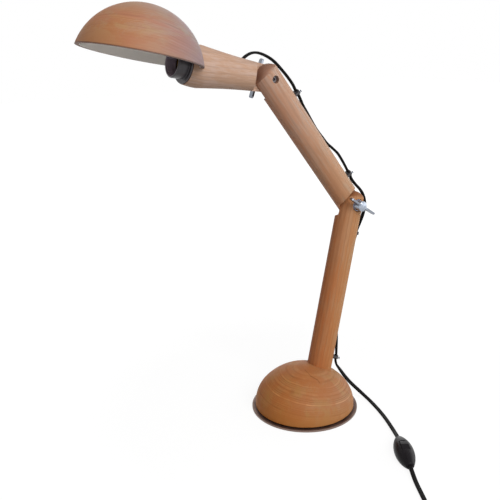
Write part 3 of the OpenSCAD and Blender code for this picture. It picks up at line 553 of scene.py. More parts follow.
def metal(name, tone, rough, dull, grain=500, bump=0.1, scratch=(1, 1, 1), matrix=AS_DRAWN, marks=None):
    """Metal with fine brushing, cloudy dulling and small scratches"""
    s = Shader(name)
    tone = tuple(tone)
    at = s.local(matrix)
    brush = s.noise(s.stretched(at, scratch), grain, 3, 0.6)
    cloud = s.noise(at, 45, 4, 0.6)
    body = s.over(tone, scaled(tone, 0.55), cloud, 0.35, 0.75, dull)
    body = s.over(body, scaled(tone, 1.2), brush, 0.55, 0.8, 0.25)
    if marks:
        body = marks(s, body, tone)
    s.bump(brush, bump, 0.0002)
    return s.finish(body, s.span(cloud, 0.3, 0.75, rough, rough + 0.2), Metallic=1.0)


def shaded_wings(s, body, tone):
    """Wings darkened outside the hub, as painted shade standing in for the dark surroundings they reflect"""
    reach = s.node("ShaderNodeAttribute", attribute_name="reach").outputs["Fac"]
    return s.over(body, scaled(tone, 0.55, (1.04, 1, 0.98)), reach, 6.6, 8.2, 0.88)


def painted_plate_shadow(s, body, tone):
    """Upper face and edge top of the foot plate, darkened toward the base as painted shadow"""
    up = s.span(s.parts(s.normals)[2], 0.5, 0.9)
    out = s.vector("LENGTH", s.vector("MULTIPLY", s.coords, (1, 1, 0)))
    shadow_mask = s.times(up, s.span(out, 0.0746, 0.0722, 0.1, 0.75))
    # Painted shadow on the top of the plate's edge as well
    shadow_mask = s.math("MAXIMUM", shadow_mask, s.span(s.parts(s.coords)[2], 0.0023, 0.003, 0.0, 0.4))
    return s.mix(shadow_mask, body, scaled(tone, 0.3, (1.08, 0.92, 0.96)))


def plastic(name, tone, rough, grain, bump, gloss, wear):
    """Moulded plastic or rubber with a fine skin and handling marks"""
    s = Shader(name)
    tone = tuple(tone)
    marks = s.noise(s.coords, 70, 5, 0.65)
    body = s.over(tone, scaled(tone, 1.9), marks, 0.45, 0.75, wear)
    s.bump(s.noise(s.coords, grain, 3, 0.5), bump, 0.0002)
    return s.finish(body, s.span(marks, 0.3, 0.7, rough - 0.06, rough + 0.08), Specular_IOR_Level=gloss)


def paint(name, tone):
    """Brushed matte paint over wood"""
    s = Shader(name)
    tone = tuple(tone)
    at = s.local(ON_SHADE)
    strokes = s.noise(s.stretched(at, (1, 1, 0.3)), 420, 4, 0.6)
    body = s.over(tone, scaled(tone, 0.86, (1, 0.98, 0.95)), s.noise(at, 40, 3, 0.55), 0.5, 0.75, 0.3)
    s.bump(strokes, 0.12, 0.0003)
    return s.finish(body, s.span(strokes, 0.3, 0.7, 0.55, 0.7))


MATERIALS = {}


def make_materials(tones):
    """All materials of the lamp by name"""
    MATERIALS.update(
        base=wood("base_wood", tones.base_wood, AS_DRAWN, depth=0.5, fibres=0.5, streaks=0.15,
                  marks=turned_marks),
        lower=wood("lower_arm_wood", tones.lower_wood, ON_LOWER, depth=0.65, fibres=0.8,
                   tints=(0.29, (1.02, 0.95, 0.9), (1.02, 1.15, 1.42)),
                   shade_sheen_sides=((1.05, 0.9, 0.84), (0.98, 1.14, 1.28))),
        upper=wood("upper_arm_wood", tones.upper_wood, ON_UPPER, (1.06, 0.9, 0.78), (0.012, 0.03, 0),
                   depth=0.6, fibres=0.8, tints=(0.2, (1.02, 0.98, 0.84), (1.02, 1.05, 1.1)),
                   shade_sheen_sides=((1.09, 1.0, 0.92), (0.93, 1.04, 1.08))),
        neck=wood("neck_wood", tones.neck_wood, ON_HEAD, (1.0, 0.92, 0.82), (0.034, -0.01, 0), depth=0.75),
        shade=wood("shade_wood", tones.shade_wood, ON_SHADE @ turn(90, "Y"), depth=0.5, fibres=0.6,
                   streaks=0.2, marks=bowl_marks),
        paint=paint("shade_paint", tones.shade_paint),
        steel=metal("foot_steel", tones.steel, 0.42, 0.35, 900, 0.06, (1, 0.06, 1), marks=painted_plate_shadow),
        zinc=metal("zinc", scaled(tones.zinc, 0.55), 0.36, 0.4),
        nut=metal("nut_metal", tones.zinc, 0.26, 0.35, 350, 0.12, marks=shaded_wings),
        # Bolt steel darker and browner than the zinc: painted shade for the bolt heads sunk in their holes
        bolt=metal("bolt_steel", scaled(tones.zinc, 0.6, (1.12, 0.95, 0.84)), 0.4, 0.4),
        washer=metal("washer_steel", scaled(tones.zinc, 0.9, (1.06, 0.94, 0.98)), 0.5, 0.3),
        # Brass darkened to a quarter of its tone: painted shade deep inside the lampholder
        brass=metal("brass", scaled(tones.brass, 0.25), 0.45, 0.5, 900, 0.06, (1, 1, 0.1), ON_HEAD),
        cord=plastic("cord_rubber", tones.cord, 0.58, 1800, 0.08, 0.07, 0.15),
        clip=plastic("clip_plastic", scaled(tones.plastic, 1.5), 0.45, 1600, 0.08, 0.45, 0.35),
        switch=plastic("switch_plastic", tones.plastic, 0.36, 2200, 0.03, 0.1, 0.15),
        holder=plastic("holder_plastic", scaled(tones.plastic, 3.5), 0.34, 900, 0.05, 0.5, 0.3),
        # Painted light: the holder's shaded inside is given a grey far lighter than its black plastic
        mouth=plastic("holder_mouth", scaled(tones.plastic, 40), 0.5, 900, 0.05, 0.4, 0.3),
        insert=plastic("insert_plastic", tones.insert, 0.35, 900, 0.05, 0.5, 0.0),
    )


# Operators, one for each piece or group of like pieces

class LAMP_OT_stage(bpy.types.Operator):
    """Camera, floor, world and soft lamps"""
    bl_idname = "lamp.stage"
    bl_label = "Stage"

    def execute(self, context):
        scene = context.scene
        scene.view_settings.view_transform = "Standard"
        lens = bpy.data.cameras.new("camera")
        lens.lens = 50.4
        lens.sensor_width = 36
        scene.camera = link("camera", lens)
        right, up = Vector((0.8311, -0.5557, -0.0237)), Vector((0.1782, 0.2257, 0.9577))
        back = right.cross(up).normalized()
        up = back.cross(right).normalized()
        facing = Matrix((right, up, back)).transposed().to_4x4()
        scene.camera.matrix_world = shift(-0.5602, -0.7177, 0.5078) @ facing
        self.floor()
        self.world(scene)
        for name, where, size, power in (
                ("key", right * 0.75 + up * 0.7 + back * 1.8, 1.4, 36),
                ("rim", right * 1.8 + up * 0.6 - back * 0.7, 1.4, 10),
                ("side", right * 1.9 + up * 0.2 + back * 0.9, 0.9, 7),
                ("behind", up * 0.9 - back * 1.8, 1.6, 9),
                ("top", 2.0 * Z, 2.0, 3)):
            lamp = bpy.data.lights.new(name, "AREA")
            lamp.energy = power
            lamp.size = size
            ob = link(name, lamp)
            ob.location = Vector((-0.03, 0, 0.25)) + where
            ob.rotation_euler = (-where).to_track_quat("-Z", "Y").to_euler()
        return {"FINISHED"}

    @staticmethod
    def seen(tree):
        """1 where a camera, glossy or transmission ray looks, for a white background"""
        rays = add_node(tree, "ShaderNodeLightPath").outputs
        total = rays["Is Camera Ray"]
        for name in ("Is Glossy Ray", "Is Transmission Ray"):
            either = add_node(tree, "ShaderNodeMath", {0: total, 1: rays[name]}, operation="MAXIMUM")
            total = either.outputs[0]
        return total

    def floor(self):
        floor = new_object(box((-6, -6, -0.0012), (6, 6, -0.0002)), "floor")
        s = Shader("floor")
        s.finish((0.45, 0.45, 0.45), 0.9, Specular_IOR_Level=0.0)
        # Near the lamp the floor glows less, so that its shadow shows
        level = s.node("ShaderNodeMapRange", {"Value": s.vector("LENGTH", s.coords), "From Min": 0.25,
                                              "From Max": 0.9, "To Min": 1.28, "To Max": 1.45})
        glow = s.node("ShaderNodeEmission", {"Strength": level.outputs[0]})
        share = s.times(self.seen(s.tree), 0.7)
        mix = s.node("ShaderNodeMixShader", {0: share, 1: s.bsdf.outputs[0], 2: glow.outputs[0]})
        feed(s.tree.nodes["Material Output"].inputs[0], mix.outputs[0])
        floor.data.materials.append(s.material)

    def world(self, scene):
        scene.world = bpy.data.worlds.new("studio")
        scene.world.use_nodes = True
        tree = scene.world.node_tree
        levels = {"Value": self.seen(tree), "To Min": 0.2, "To Max": 1.0}
        strength = add_node(tree, "ShaderNodeMapRange", levels)
        sky = tree.nodes["Background"]
        feed(sky.inputs[0], (1, 1, 1))
        feed(sky.inputs[1], strength.outputs[0])


def neck_radius(s):
    """Radius of the turned neck at a distance from the wrist pivot"""
    thick_at, flare = 98, 0.45
    if s <= 0:
        return NECK_THIN
    if s <= thick_at:
        t = s / thick_at
        return NECK_THIN + (NECK_THICK - NECK_THIN) * (flare * t + (1 - flare) * t * t)
    return NECK_THICK - (NECK_THICK - NECK_END) * ((s - thick_at) / (mm("neck_length") - thick_at)) ** 2


# The cord's way, as in the solids: rows of a point and the direction of the cord's width

def row(matrix, x, y, z, angle=0):
    """A row in the frame of a piece, with its width along Y or turned from it"""
    a = radians(angle)
    return matrix @ Vector((x, y, z)), matrix.to_3x3() @ Vector((sin(a), cos(a), 0))


def flat_rows(origin, table):
    """Rows from an origin, with level widths"""
    return [(origin + Vector((x, y, z)), Vector((u, v, 0))) for x, y, z, u, v in table]


def spread(rows, steps):
    """Even curve through the rows"""
    out = []
    for i in range(len(rows) - 1):
        a, b, c, d = (rows[max(0, min(len(rows) - 1, i + k))] for k in (-1, 0, 1, 2))
        for k in range(steps):
            t = k / steps
            out.append([0.5 * (2 * q + (r - p) * t + (2 * p - 5 * q + 4 * r - w) * t * t
                               + (3 * q - p - 3 * r + w) * t ** 3) for p, q, r, w in zip(a, b, c, d)])
    return out + [rows[-1]]


def coil_frame(angle):
    """Directions out of the coil and along it, at an angle round it"""
    a = radians(angle)
    return Vector((cos(a), sin(a), 0)), Vector((-sin(a), cos(a), 0))


class CordRoute:
    """Rows of the whole cord, from the lampholder to the plug"""
    STEPS, COIL_STEPS = 6, 2

    def __init__(self):
        self.arm_r = mm("arm_diameter") / 2
        self.width, self.thick = mm("cord_width"), mm("cord_thickness")
        self.floor_z = self.thick / 2 + 0.2
        self.coil_z = 1.1 + self.width / 2
        self.layer = self.width + 0.7

    def held(self, arm, clip):
        """Rows in a clip, with a little on both sides"""
        out, a = self.arm_r + CLIP_CORD, radians(clip[1])
        return [row(arm, out * cos(a), -out * sin(a), clip[0] + step, clip[1]) for step in (3.4, 0, -3.4)]

    def clipped(self, arm, clips, bends):
        """Rows from one clip to the next, past bends at shares of the way"""
        (first, *_), (last, *_) = clips
        between = [row(arm, self.arm_r + out, side, first + share * (last - first), angle)
                   for share, out, side, angle in bends]
        return self.held(arm, clips[0]) + between + self.held(arm, clips[1])

    def on_lamp(self):
        """Stretches on the lamp: neck, wrist bow, upper arm, elbow bow, lower arm, and down to the switch"""
        r, up = self.arm_r, neck_radius(CORD_EXIT)
        neck = [(81.6, 0)] + [(CORD_EXIT + up + s, h) for s, h in (
            (18, 0), (12, 0.1), (6.5, 0.7), (1, 2.5), (-4.4, 6), (-9.8, 10.6), (-14.4, 14.6))]
        neck.append((CORD_EXIT, up))
        wrist = [(CORD_EXIT - 3, up + 3)] + [(s, r + h) for s, h in (
            (32, 6.9), (27, 9.3), (20, 10.5), (12, 9.9), (3.6, 8))]
        neck, wrist = ([row(ON_HEAD, h, 0, s) for s, h in points] for points in (neck, wrist))
        wrist += [row(ON_UPPER, r + out, side, UPPER_LEN + a, angle) for a, out, side, angle in (
            (11.6, 2, -1, 3), (2.4, 3.7, -1.5, 4), (-7.7, 4.9, -2, 6), (-18, 5.5, -3, 8), (-28, 5.2, -4, 10))]
        upper = self.clipped(ON_UPPER, UPPER_CLIPS, (
            (0.09, 2.7, -4, 11), (0.14, 1.9, -3, 8), (0.245, 2, -1, 3), (0.35, 2.2, 1.5, -4),
            (0.445, 1.9, 2, -5), (0.54, 2, 0.2, 0), (0.61, 2.2, -1.2, 3), (0.69, 4.4, -3, 8),
            (0.765, 6.2, -4, 10), (0.835, 5.7, -5, 13), (0.91, 4.6, -5.8, 15)))
        elbow = [row(shift(*ELBOW), x, y, z) for x, y, z in (
            (-3.7, -6, 35.9), (3.5, -5.8, 27.9), (12.6, -5.2, 19.6), (19, -4.5, 11.9), (22.8, -3.9, 4.1),
            (24.5, -3.4, -5.6), (22.7, -2.9, -16.3), (20.6, -2.4, -22.7), (17.8, -1.6, -29.7))]
        lower = self.clipped(ON_LOWER, LOWER_CLIPS, (
            (0.14, 2.8, 1.4, -4), (0.295, 2, 2.6, -7), (0.51, 1.9, 3, -8), (0.73, 2, 2, -5),
            (0.87, 2.8, -4, 11)))
        counts = [len(neck), len(wrist), len(upper) - 1, len(elbow) + 1, len(lower) - 1]
        marks = [sum(counts[:k]) * self.STEPS for k in range(len(counts) + 1)]
        rows = spread(neck + wrist + upper + elbow + lower + self.free(lower[-2][0]), self.STEPS)
        return [rows[a:b + 1] for a, b in zip(marks, marks[1:] + [len(rows) - 1])]

    def free(self, top):
        """Rows from the lowest clip over the base's edge and the table to the switch"""
        low = self.floor_z
        return flat_rows(top, (
            (0.4, -0.5, -11.4, 0.44, 0.89), (3.4, -1, -17, 0.66, 0.7), (8.2, -1.9, -24.4, 0.86, 0.4),
            (15.2, -4.5, -35.6, 0.97, 0.1))) + flat_rows(Vector((mm("plate_diameter") / 2, 0, 0)), (
                (-4.5, -19, 22.4, 0.98, -0.1), (-0.5, -25, 16.4, 0.98, -0.12), (3.1, -31, 11, 0.98, -0.1),
                (5.5, -38, 6.6, 0.99, -0.05), (6.1, -47, 3.6, 1, 0.0), (4.5, -57, 2.2, 0.98, -0.2))
            ) + flat_rows(Vector(), (
                (74, -76, low, 0.94, -0.34), (66, -97, low, 0.92, -0.4), (57, -117, low, 0.9, -0.44),
                (49, -132, 3, 0.87, -0.49))
            ) + [row(ON_SWITCH, -38, 0, SWITCH_MID - 0.6), row(ON_SWITCH, -31.4, 0, SWITCH_MID)]

    def coil_row(self, k):
        turns, half = k / COIL_TURN, COIL_RINGS / COIL_TURN / 2
        climb = max(0, min(1, (turns - half) * 2 + 0.5))
        r = COIL_R - (self.thick + 0.7) * (half - abs(turns - half))
        z = self.coil_z + self.layer * climb * climb * (3 - 2 * climb)
        return COIL_MID + r * coil_frame(COIL_START + 360 * turns)[0] + z * Z, Z

    def tail(self):
        """Stretch from the switch through the coil to the plug"""
        low = self.floor_z
        out, ahead = coil_frame(COIL_START)
        start = COIL_MID + COIL_R * out + self.coil_z * Z
        rows = [row(ON_SWITCH, 31.4, 0, SWITCH_MID), row(ON_SWITCH, 38, 0, SWITCH_MID - 1.4)]
        rows += flat_rows(Vector(), ((-8, -224, 2, 0.86, -0.51), (-17, -239.4, low, 0.86, -0.51)))
        rows += [(Vector((-25.4, -254, low)), Vector((0.84, -0.54, 0.1))),
                 (start - 40 * ahead - 1.4 * Z, 0.5 * Z - out), (start - 22 * ahead, Z - 0.4 * out),
                 (start - 12 * ahead, Z), (start - 6 * ahead, Z)]
        out, ahead = coil_frame(COIL_END)
        end = COIL_MID + COIL_R * out
        top = end + (self.coil_z + self.layer) * Z
        lead = [(top + 6 * ahead, Z), (top + 16 * ahead - 0.6 * Z, 0.4 * out + Z),
                (top + 28 * ahead - 2 * Z, out + 0.6 * Z), (end + 40 * ahead + PLUG_MID * Z, out),
                (end + 49.6 * ahead + PLUG_MID * Z, out)]
        coil = [self.coil_row(k) for k in range(COIL_RINGS + 1)]
        return (spread(rows, self.STEPS)[:-1] + spread([rows[-1]] + coil + [lead[0]], self.COIL_STEPS)[:-1]
                + spread(lead, self.STEPS))


class LAMP_OT_cords(bpy.types.Operator):
    """Flat cord on the arms, its two bows at the knuckles, and the free cord to the plug"""
    bl_idname = "lamp.cords"
    bl_label = "Cords"

    def execute(self, context):
        route = CordRoute()
        parts = route.on_lamp()
        made = [self.tube(rows, name) for rows, name in zip(parts, (
            "flex_neck", "flex_wrist_bow", "flex_upper", "flex_elbow_bow", "flex_lower", "flex_to_switch"))]
        for ob, body, node in zip(made, ("head", None, "upper_arm", None, "base", "base"), (
                "cord_neck", "cord_wrist_loop", "cord_upper", "cord_elbow_loop", "cord_lower", "cord_free")):
            settle(ob, AS_DRAWN, "cord", body, "cord", node)
        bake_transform(made[1])
        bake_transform(made[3])
        rows = route.tail()
        tail = self.tube(rows, "flex_tail")
        settle(tail, AS_DRAWN, "cord", "base", "cord", "cord_tail", "cord_coil")
        return {"FINISHED"}

    @staticmethod
    def tube(rows, name):
        """Flat twin cord with a shallow valley along the middle of each side"""
        count, valley, valley_width = 22, 0.17, 0.55
        section = []
        for k in range(count):
            u, v = cos(2 * pi * k / count), sin(2 * pi * k / count)
            u = math.copysign(abs(u) ** 0.72, u) * mm("cord_width") / 2
            v = math.copysign(abs(v) ** 0.62, v) * mm("cord_thickness") / 2
            section.append((u, v * (1 - valley * math.exp(-(u / valley_width) ** 2))))
        bm = bmesh.new()
        loops = []
        for i, (p, w) in enumerate(rows):
            t = (rows[min(i + 1, len(rows) - 1)][0] - rows[max(i - 1, 0)][0]).normalized()
            w = (w - t * w.dot(t)).normalized()
            n = t.cross(w)
            loops.append([bm.verts.new(p + w * u + n * v) for u, v in section])
        for a, b in zip(loops, loops[1:]):
            for k in range(count):
                bm.faces.new((a[k], a[(k + 1) % count], b[(k + 1) % count], b[k]))
        bm.faces.new(loops[0])
        bm.faces.new(loops[-1])
        ob = new_object(bm, name)
        smooth(ob, 50)
        return ob

    @staticmethod
    def path_of(rows):
        """A route's points in metres and its length"""
        points = [p * MM for p, _ in rows]
        return points, sum((b - a).length for a, b in zip(points, points[1:]))


class LAMP_OT_base(bpy.types.Operator):
    """Foot plate with its screw holes, and the turned base with the arm's socket"""
    bl_idname = "lamp.base"
    bl_label = "Base"

    def execute(self, context):
        r, thick = mm("plate_diameter") / 2, 3
        head, shank, screws_at = 3.65, 1.85, 50
        plate = new_object(lathe([(0, 0), (r - 0.4, 0), (r, 0.4), (r, thick - 0.5), (r - 0.15, thick - 0.15),
                                  (r - 0.5, thick), (0, thick)], 160), "foot_disc")
        for angle in (90, 210, 330):
            hole = lathe([(0, -1), (head, -1), (head, 0.3), (shank, 2.1), (shank, 4), (0, 4)], 32)
            cut(plate, moved(hole, turn(angle, "Z") @ shift(screws_at, 0, 0)))
        polish(plate, 0)
        settle(plate, AS_DRAWN, "steel", "base", "foot_steel", "base_plate")
        settle_nodes("zinc", "plate_screws", "post_screw")

        r, high, side, low = mm("dome_diameter") / 2, mm("dome_height"), 44, 6.7
        top = ((r - side) ** 2 + high ** 2 - side ** 2) / (2 * (high - side))
        meet = math.degrees(math.atan2(top - high, r - side))
        inset, lip, edge = 2.4, 4.6, 0.4
        profile = [(0, thick), (r - inset, thick), (r - inset, lip), (r - edge, lip), (r, lip + edge)]
        profile += arc(r - side, low, side, 0, meet, 40) + arc(0, low + high - top, top, meet, 90, 30)[1:-1]
        dome = new_object(lathe(profile + [(0, low + high)], 160), "turned_base")
        cut(dome, moved(bar(mm("arm_diameter") / 2 + 0.15, SOCKET_Z, 120), ON_LOWER))
        polish(dome, edge)
        settle(dome, AS_DRAWN, "base", "base", "base_wood", "base_dome")
        return {"FINISHED"}


def tongue_waste(r, z, sign):
    """What is outside a tongue's softly rounded end, for cutting away"""
    depth = r * 0.973
    curve = [((r ** 3 - abs(y) ** 3) ** (1 / 3), y) for y in (depth * k / 24 for k in range(-24, 25))]
    bm = lathe(curve + [(2 * r, depth), (2 * r, -depth)], 128, True)
    return trimmed(moved(bm, shift(0, 0, z) @ turn(-90, "X")), (0, 0, z + 0.02 * sign), (0, 0, sign))


def worn_tip(z, side):
    """What is above a shoulder's worn tip, for cutting away"""
    inset, far, reach, tip_at = 0.3, 25, 15, 11.4
    low, high = sorted((inset * side, far * side))
    bm = box((low, inset, z - reach), (high, far, z + reach))
    return trimmed(bm, (tip_at * side, 0, z), (0.5 * side, 0.5, 1))


class LAMP_OT_arms(bpy.types.Operator):
    """Lower and upper arm with half-lap tongues, hollow shoulders and bolt seats"""
    bl_idname = "lamp.arms"
    bl_label = "Arms"

    def execute(self, context):
        r, hollow, wrist_hollow, past_end = mm("arm_diameter") / 2, 23, 24.5, 30
        end_r = r + TONGUE_ROOM
        top, worn_z = LOWER_LEN, LOWER_LEN - 14
        lower = new_object(bar(r, SOCKET_Z, top + past_end, 128), "lower_bar")
        outline = [(-end_r, 20), (end_r, 20)] + arc(0, top, end_r, 0, 180, 48)
        cut(lower, prism(outline, -FAR, FAR), operation="INTERSECT")
        cut(lower, tongue_waste(end_r, top, 1), cross(hollow, -LAP_GAP, FAR, 128, top),
            worn_tip(worn_z, -1), worn_tip(worn_z, 1), cross(BOLT_R, -FAR, FAR, 48, top),
            cross(SEAT_R, -FAR, SEAT_DEPTH - r, 64, top))
        polish(lower, mm("edge"))
        settle(lower, ON_LOWER, "lower", "base", "arm_wood", "lower_arm")

        top = UPPER_LEN
        upper = new_object(bar(r, -past_end, top + past_end, 128), "upper_bar")
        outline = arc(0, top, end_r, 0, 180, 48) + arc(0, 0, end_r, 180, 360, 48)
        cut(upper, prism(outline, -FAR, FAR), operation="INTERSECT")
        cut(upper, tongue_waste(end_r, top, 1), tongue_waste(end_r, 0, -1), cross(hollow, -FAR, LAP_GAP, 128),
            cross(wrist_hollow, -LAP_GAP, FAR, 128, top))
        for z, low, high in ((0, r - HEAD_DEPTH, FAR), (top, -FAR, HEAD_DEPTH - r)):
            cut(upper, cross(BOLT_R, -FAR, FAR, 48, z), cross(HEAD_R, low, high, 48, z))
        polish(upper, mm("edge"))
        settle(upper, ON_UPPER, "upper", "upper_arm", "arm_wood", "upper_arm")
        return {"FINISHED"}


class LAMP_OT_head(bpy.types.Operator):
    """Turned neck with its cord bore, and the bowl shade let onto it"""
    bl_idname = "lamp.head"
    bl_label = "Neck and shade"

    @staticmethod
    def turning(grow):
        """The neck before its cuts, or a little larger all round"""
        ahead = [mm("neck_length") * k / 60 for k in range(1, 61)]
        profile = [(0, -35), (NECK_THIN + grow, -35), (NECK_THIN + grow, 0)]
        return lathe(profile + [(neck_radius(s) + grow, s) for s in ahead] + [(0, mm("neck_length"))], 144)

    def execute(self, context):
        neck = new_object(self.turning(0), "turned_neck")
        hollow, holder_r, holder_z, bore_r, exit_r = 28.6, 17.45, 81.85, 4.8, 4.3
        outline = [(30, 0), (30, 130), (-30, 130), (-30, 0)]
        outline += arc(0, 0, NECK_THIN + TONGUE_ROOM, 180, 360, 48)
        meet = CORD_EXIT + neck_radius(CORD_EXIT)
        # The rounded end is cut before the outline, a little inside it, as nearly equal faces cut badly
        cut(neck, tongue_waste(NECK_THIN + TONGUE_ROOM - 0.1, 0, -1))
        cut(neck, prism(outline, -FAR, FAR), operation="INTERSECT")
        cut(neck, cross(hollow, -FAR, LAP_GAP, 128), cross(BOLT_R, -FAR, FAR, 48),
            cross(SEAT_R, NECK_THIN - SEAT_DEPTH, FAR, 64), bar(holder_r, holder_z, 130),
            bar(bore_r, meet - exit_r, 90, 48),
            moved(bar(exit_r, 0, 45, 48), shift(0, 0, meet) @ turn(135, "Y")))
        polish(neck, mm("edge"))
        settle(neck, ON_HEAD, "neck", "head", "neck_wood", "neck")

        r, high = mm("shade_diameter") / 2, mm("shade_height")
        ball = (r * r + high * high) / (2 * high)
        mid, inner = high - ball, ball - mm("shade_wall")
        low, low_in = (math.degrees(math.asin(-mid / radius)) for radius in (ball, inner))
        profile = [(0, inner + mid)] + arc(0, mid, inner, 90, low_in, 44)[1:]
        profile += arc(0, mid, ball, low, 90, 48)[:-1]
        bowl = new_object(lathe(profile + [(0, high)], 176), "bowl_shade")
        cut(bowl, moved(self.turning(0.15), ON_SHADE.inverted() @ ON_HEAD))
        polish(bowl, 0.9, 3)
        for face in bowl.data.polygons:
            middle = face.center - mid * Z
            face.material_index = int(middle.length < inner + 0.6 and face.normal.dot(middle) < 0)
        settle(bowl, ON_SHADE, ("shade", "paint"), "head", "shade_wood", "shade")
        return {"FINISHED"}


class LAMP_OT_lampholder(bpy.types.Operator):
    """Lampholder with its flange and lip, the rolled screw shell and the contacts"""
    bl_idname = "lamp.lampholder"
    bl_label = "Lampholder"

    def execute(self, context):
        profile = [(0, 82), (16.9, 82), (17.3, 82.4), (17.3, 116), (21.4, 116), (21.8, 116.4), (21.8, 117.7),
                   (21.3, 118.2), (17.8, 118.2), (17.3, 118.7)]
        profile += arc(15.7, 130.4, 1.6, 0, 90, 8)
        profile += [(15.2, 131.9), (14.9, 131.5), (14.9, 119), (15.5, 119), (15.5, 92), (0, 92)]
        body = new_object(lathe(profile, 128), "holder_shell")
        polish(body, 0)
        # Faces inside the mouth take that lighter grey, painted light in the shaded holder
        mouth_r, mouth_z = 15.6, 93
        for face in body.data.polygons:
            x, y, z = face.center
            face.material_index = int(math.hypot(x, y) < mouth_r and z > mouth_z)
        settle(body, ON_HEAD, ("holder", "mouth"), "head", "holder_plastic", "lampholder_body")
        shell_r, roll, pitch, wall = 13.75, 0.4, 3.6, 0.3
        rolled = [(shell_r + roll * cos(2 * pi * z / pitch), 100 + z) for z in (k * 0.3 for k in range(63))]
        outside = [(r + wall, z) for r, z in reversed(rolled)]
        shell = new_object(lathe(rolled + outside, 96, True), "rolled_shell")
        polish(shell, 0, smooth_angle=60)
        settle(shell, ON_HEAD, "brass", "head", "brass", "screw_shell")
        settle_nodes("brass", "centre_contact", "terminal_screws")
        settle_nodes("insert", "lampholder_insert")
        return {"FINISHED"}


class LAMP_OT_nuts(bpy.types.Operator):
    """Wing nuts with tapered hubs and rounded wings, bolts and washers"""
    bl_idname = "lamp.nuts"
    bl_label = "Wing nuts"

    def execute(self, context):
        tip, corner, low, high, half = mm("wing_span") / 2, 2.2, 5, 12, 1.3
        for name, pivot, seat, face, angle in (("elbow", ELBOW, -16.9, 90, -33),
                                               ("wrist", WRIST, 15.7, -90, -69)):
            hub = [(0, 10), (BOLT_R, 10), (BOLT_R, 0), (6.9, 0), (7.3, 0.4), (6.82, 9)]
            hub += arc(0, 2.01, 10.19, 47, 90, 14)[:-1] + [(0, 12.2)]
            nut = new_object(lathe(hub, 64), name + "_nut_cast")
            outline = []
            for x, z, start in ((tip - corner, low + corner, -90), (tip - corner, high - corner, 0),
                                (corner - tip, high - corner, 90), (corner - tip, low + corner, 180)):
                outline += arc(x, z, corner, start, start + 90, 6)
            cut(nut, prism(outline, -half, half), operation="UNION")
            polish(nut, 0.6, 3, 40)
            reach = nut.data.attributes.new("reach", "FLOAT", "POINT")
            reach.data.foreach_set("value", [math.hypot(v.co.x, v.co.y) for v in nut.data.vertices])
            on_bolt = shift(*pivot) @ shift(0, seat, 0) @ turn(face, "X") @ turn(angle, "Z")
            settle(nut, on_bolt, "nut", name + "_nut", "nut_metal", name + "_wing_nut")
        settle_nodes("bolt", "elbow_bolt", "wrist_bolt")
        settle_nodes("washer", "elbow_washer", "wrist_washer")
        return {"FINISHED"}


def repeat_tree(name, material, shape, kind, *titles):
    """Node tree with a shape on each point, turned by the point's turn, as one plain mesh"""
    tree = bpy.data.node_groups.new(name, "GeometryNodeTree")
    new_socket = tree.interface.new_socket
    new_socket("Geometry", in_out="OUTPUT", socket_type="NodeSocketGeometry")
    new_socket("Points", in_out="INPUT", socket_type="NodeSocketGeometry")
    for title in titles:
        new_socket(title, in_out="INPUT", socket_type=kind)

    def node(*args, **settings):
        return add_node(tree, *args, **settings)
    given = node("NodeGroupInput").outputs
    angles = node("GeometryNodeInputNamedAttribute", {"Name": "turn"}, data_type="FLOAT_VECTOR")
    turned = node("FunctionNodeEulerToRotation", {0: angles.outputs[0]})
    put = node("GeometryNodeInstanceOnPoints", {"Points": given["Points"], "Instance": shape(node, given),
                                                "Rotation": turned.outputs[0]})
    real = node("GeometryNodeRealizeInstances", {0: put.outputs[0]})
    coated = node("GeometryNodeSetMaterial", {0: real.outputs[0], "Material": material})
    node("NodeGroupOutput", {0: coated.outputs[0]})
    return tree


def clip_shape(node, given):
    """The clip that is given as an object"""
    return node("GeometryNodeObjectInfo", {"Object": given["Clip"]}).outputs["Geometry"]


def nail_shape(node, given):
    """A nail drawn from its sizes: a shank and a domed head, pointing out of the arm"""
    shank = node("GeometryNodeMeshCylinder", {"Vertices": 24, "Radius": given["Shank radius"],
                                              "Depth": given["Shank length"]})
    head = node("GeometryNodeMeshUVSphere", {"Segments": 32, "Radius": given["Head radius"]})
    squeeze = node("ShaderNodeMath", {0: given["Head height"], 1: given["Head radius"]}, operation="DIVIDE")
    domed = node("ShaderNodeCombineXYZ", {0: 1, 1: 1, 2: squeeze.outputs[0]})
    middle = node("ShaderNodeMath", {0: given["Shank length"], 1: -0.5, 2: given["Out"]},
                  operation="MULTIPLY_ADD")
    join = node("GeometryNodeJoinGeometry")
    for part, out, scale in ((shank, middle.outputs[0], (1, 1, 1)), (head, given["Out"], domed.outputs[0])):
        where = node("ShaderNodeCombineXYZ", {0: out})
        move = node("GeometryNodeTransform", {"Geometry": part.outputs["Mesh"], "Rotation": (0, pi / 2, 0),
                                              "Translation": where.outputs[0], "Scale": scale})
        feed(join.inputs[0], move.outputs[0])
    return join.outputs[0]


def repeated(name, tree, places, values):
    """Plain mesh of a tree's shapes on an arm's places, each a point and the three angles of its turn"""
    mesh = bpy.data.meshes.new(name)
    mesh.from_pydata([spot for spot, _ in places], [], [])
    turns = mesh.attributes.new("turn", "FLOAT_VECTOR", "POINT")
    for item, (_, angles) in zip(turns.data, places):
        item.vector = angles
    ob = link(name, mesh)
    mod = ob.modifiers.new("repeat", "NODES")
    mod.node_group = tree
    for item in tree.interface.items_tree:
        if item.in_out == "INPUT" and item.name in values:
            mod[item.identifier] = values[item.name]
    bake(ob)
    return ob


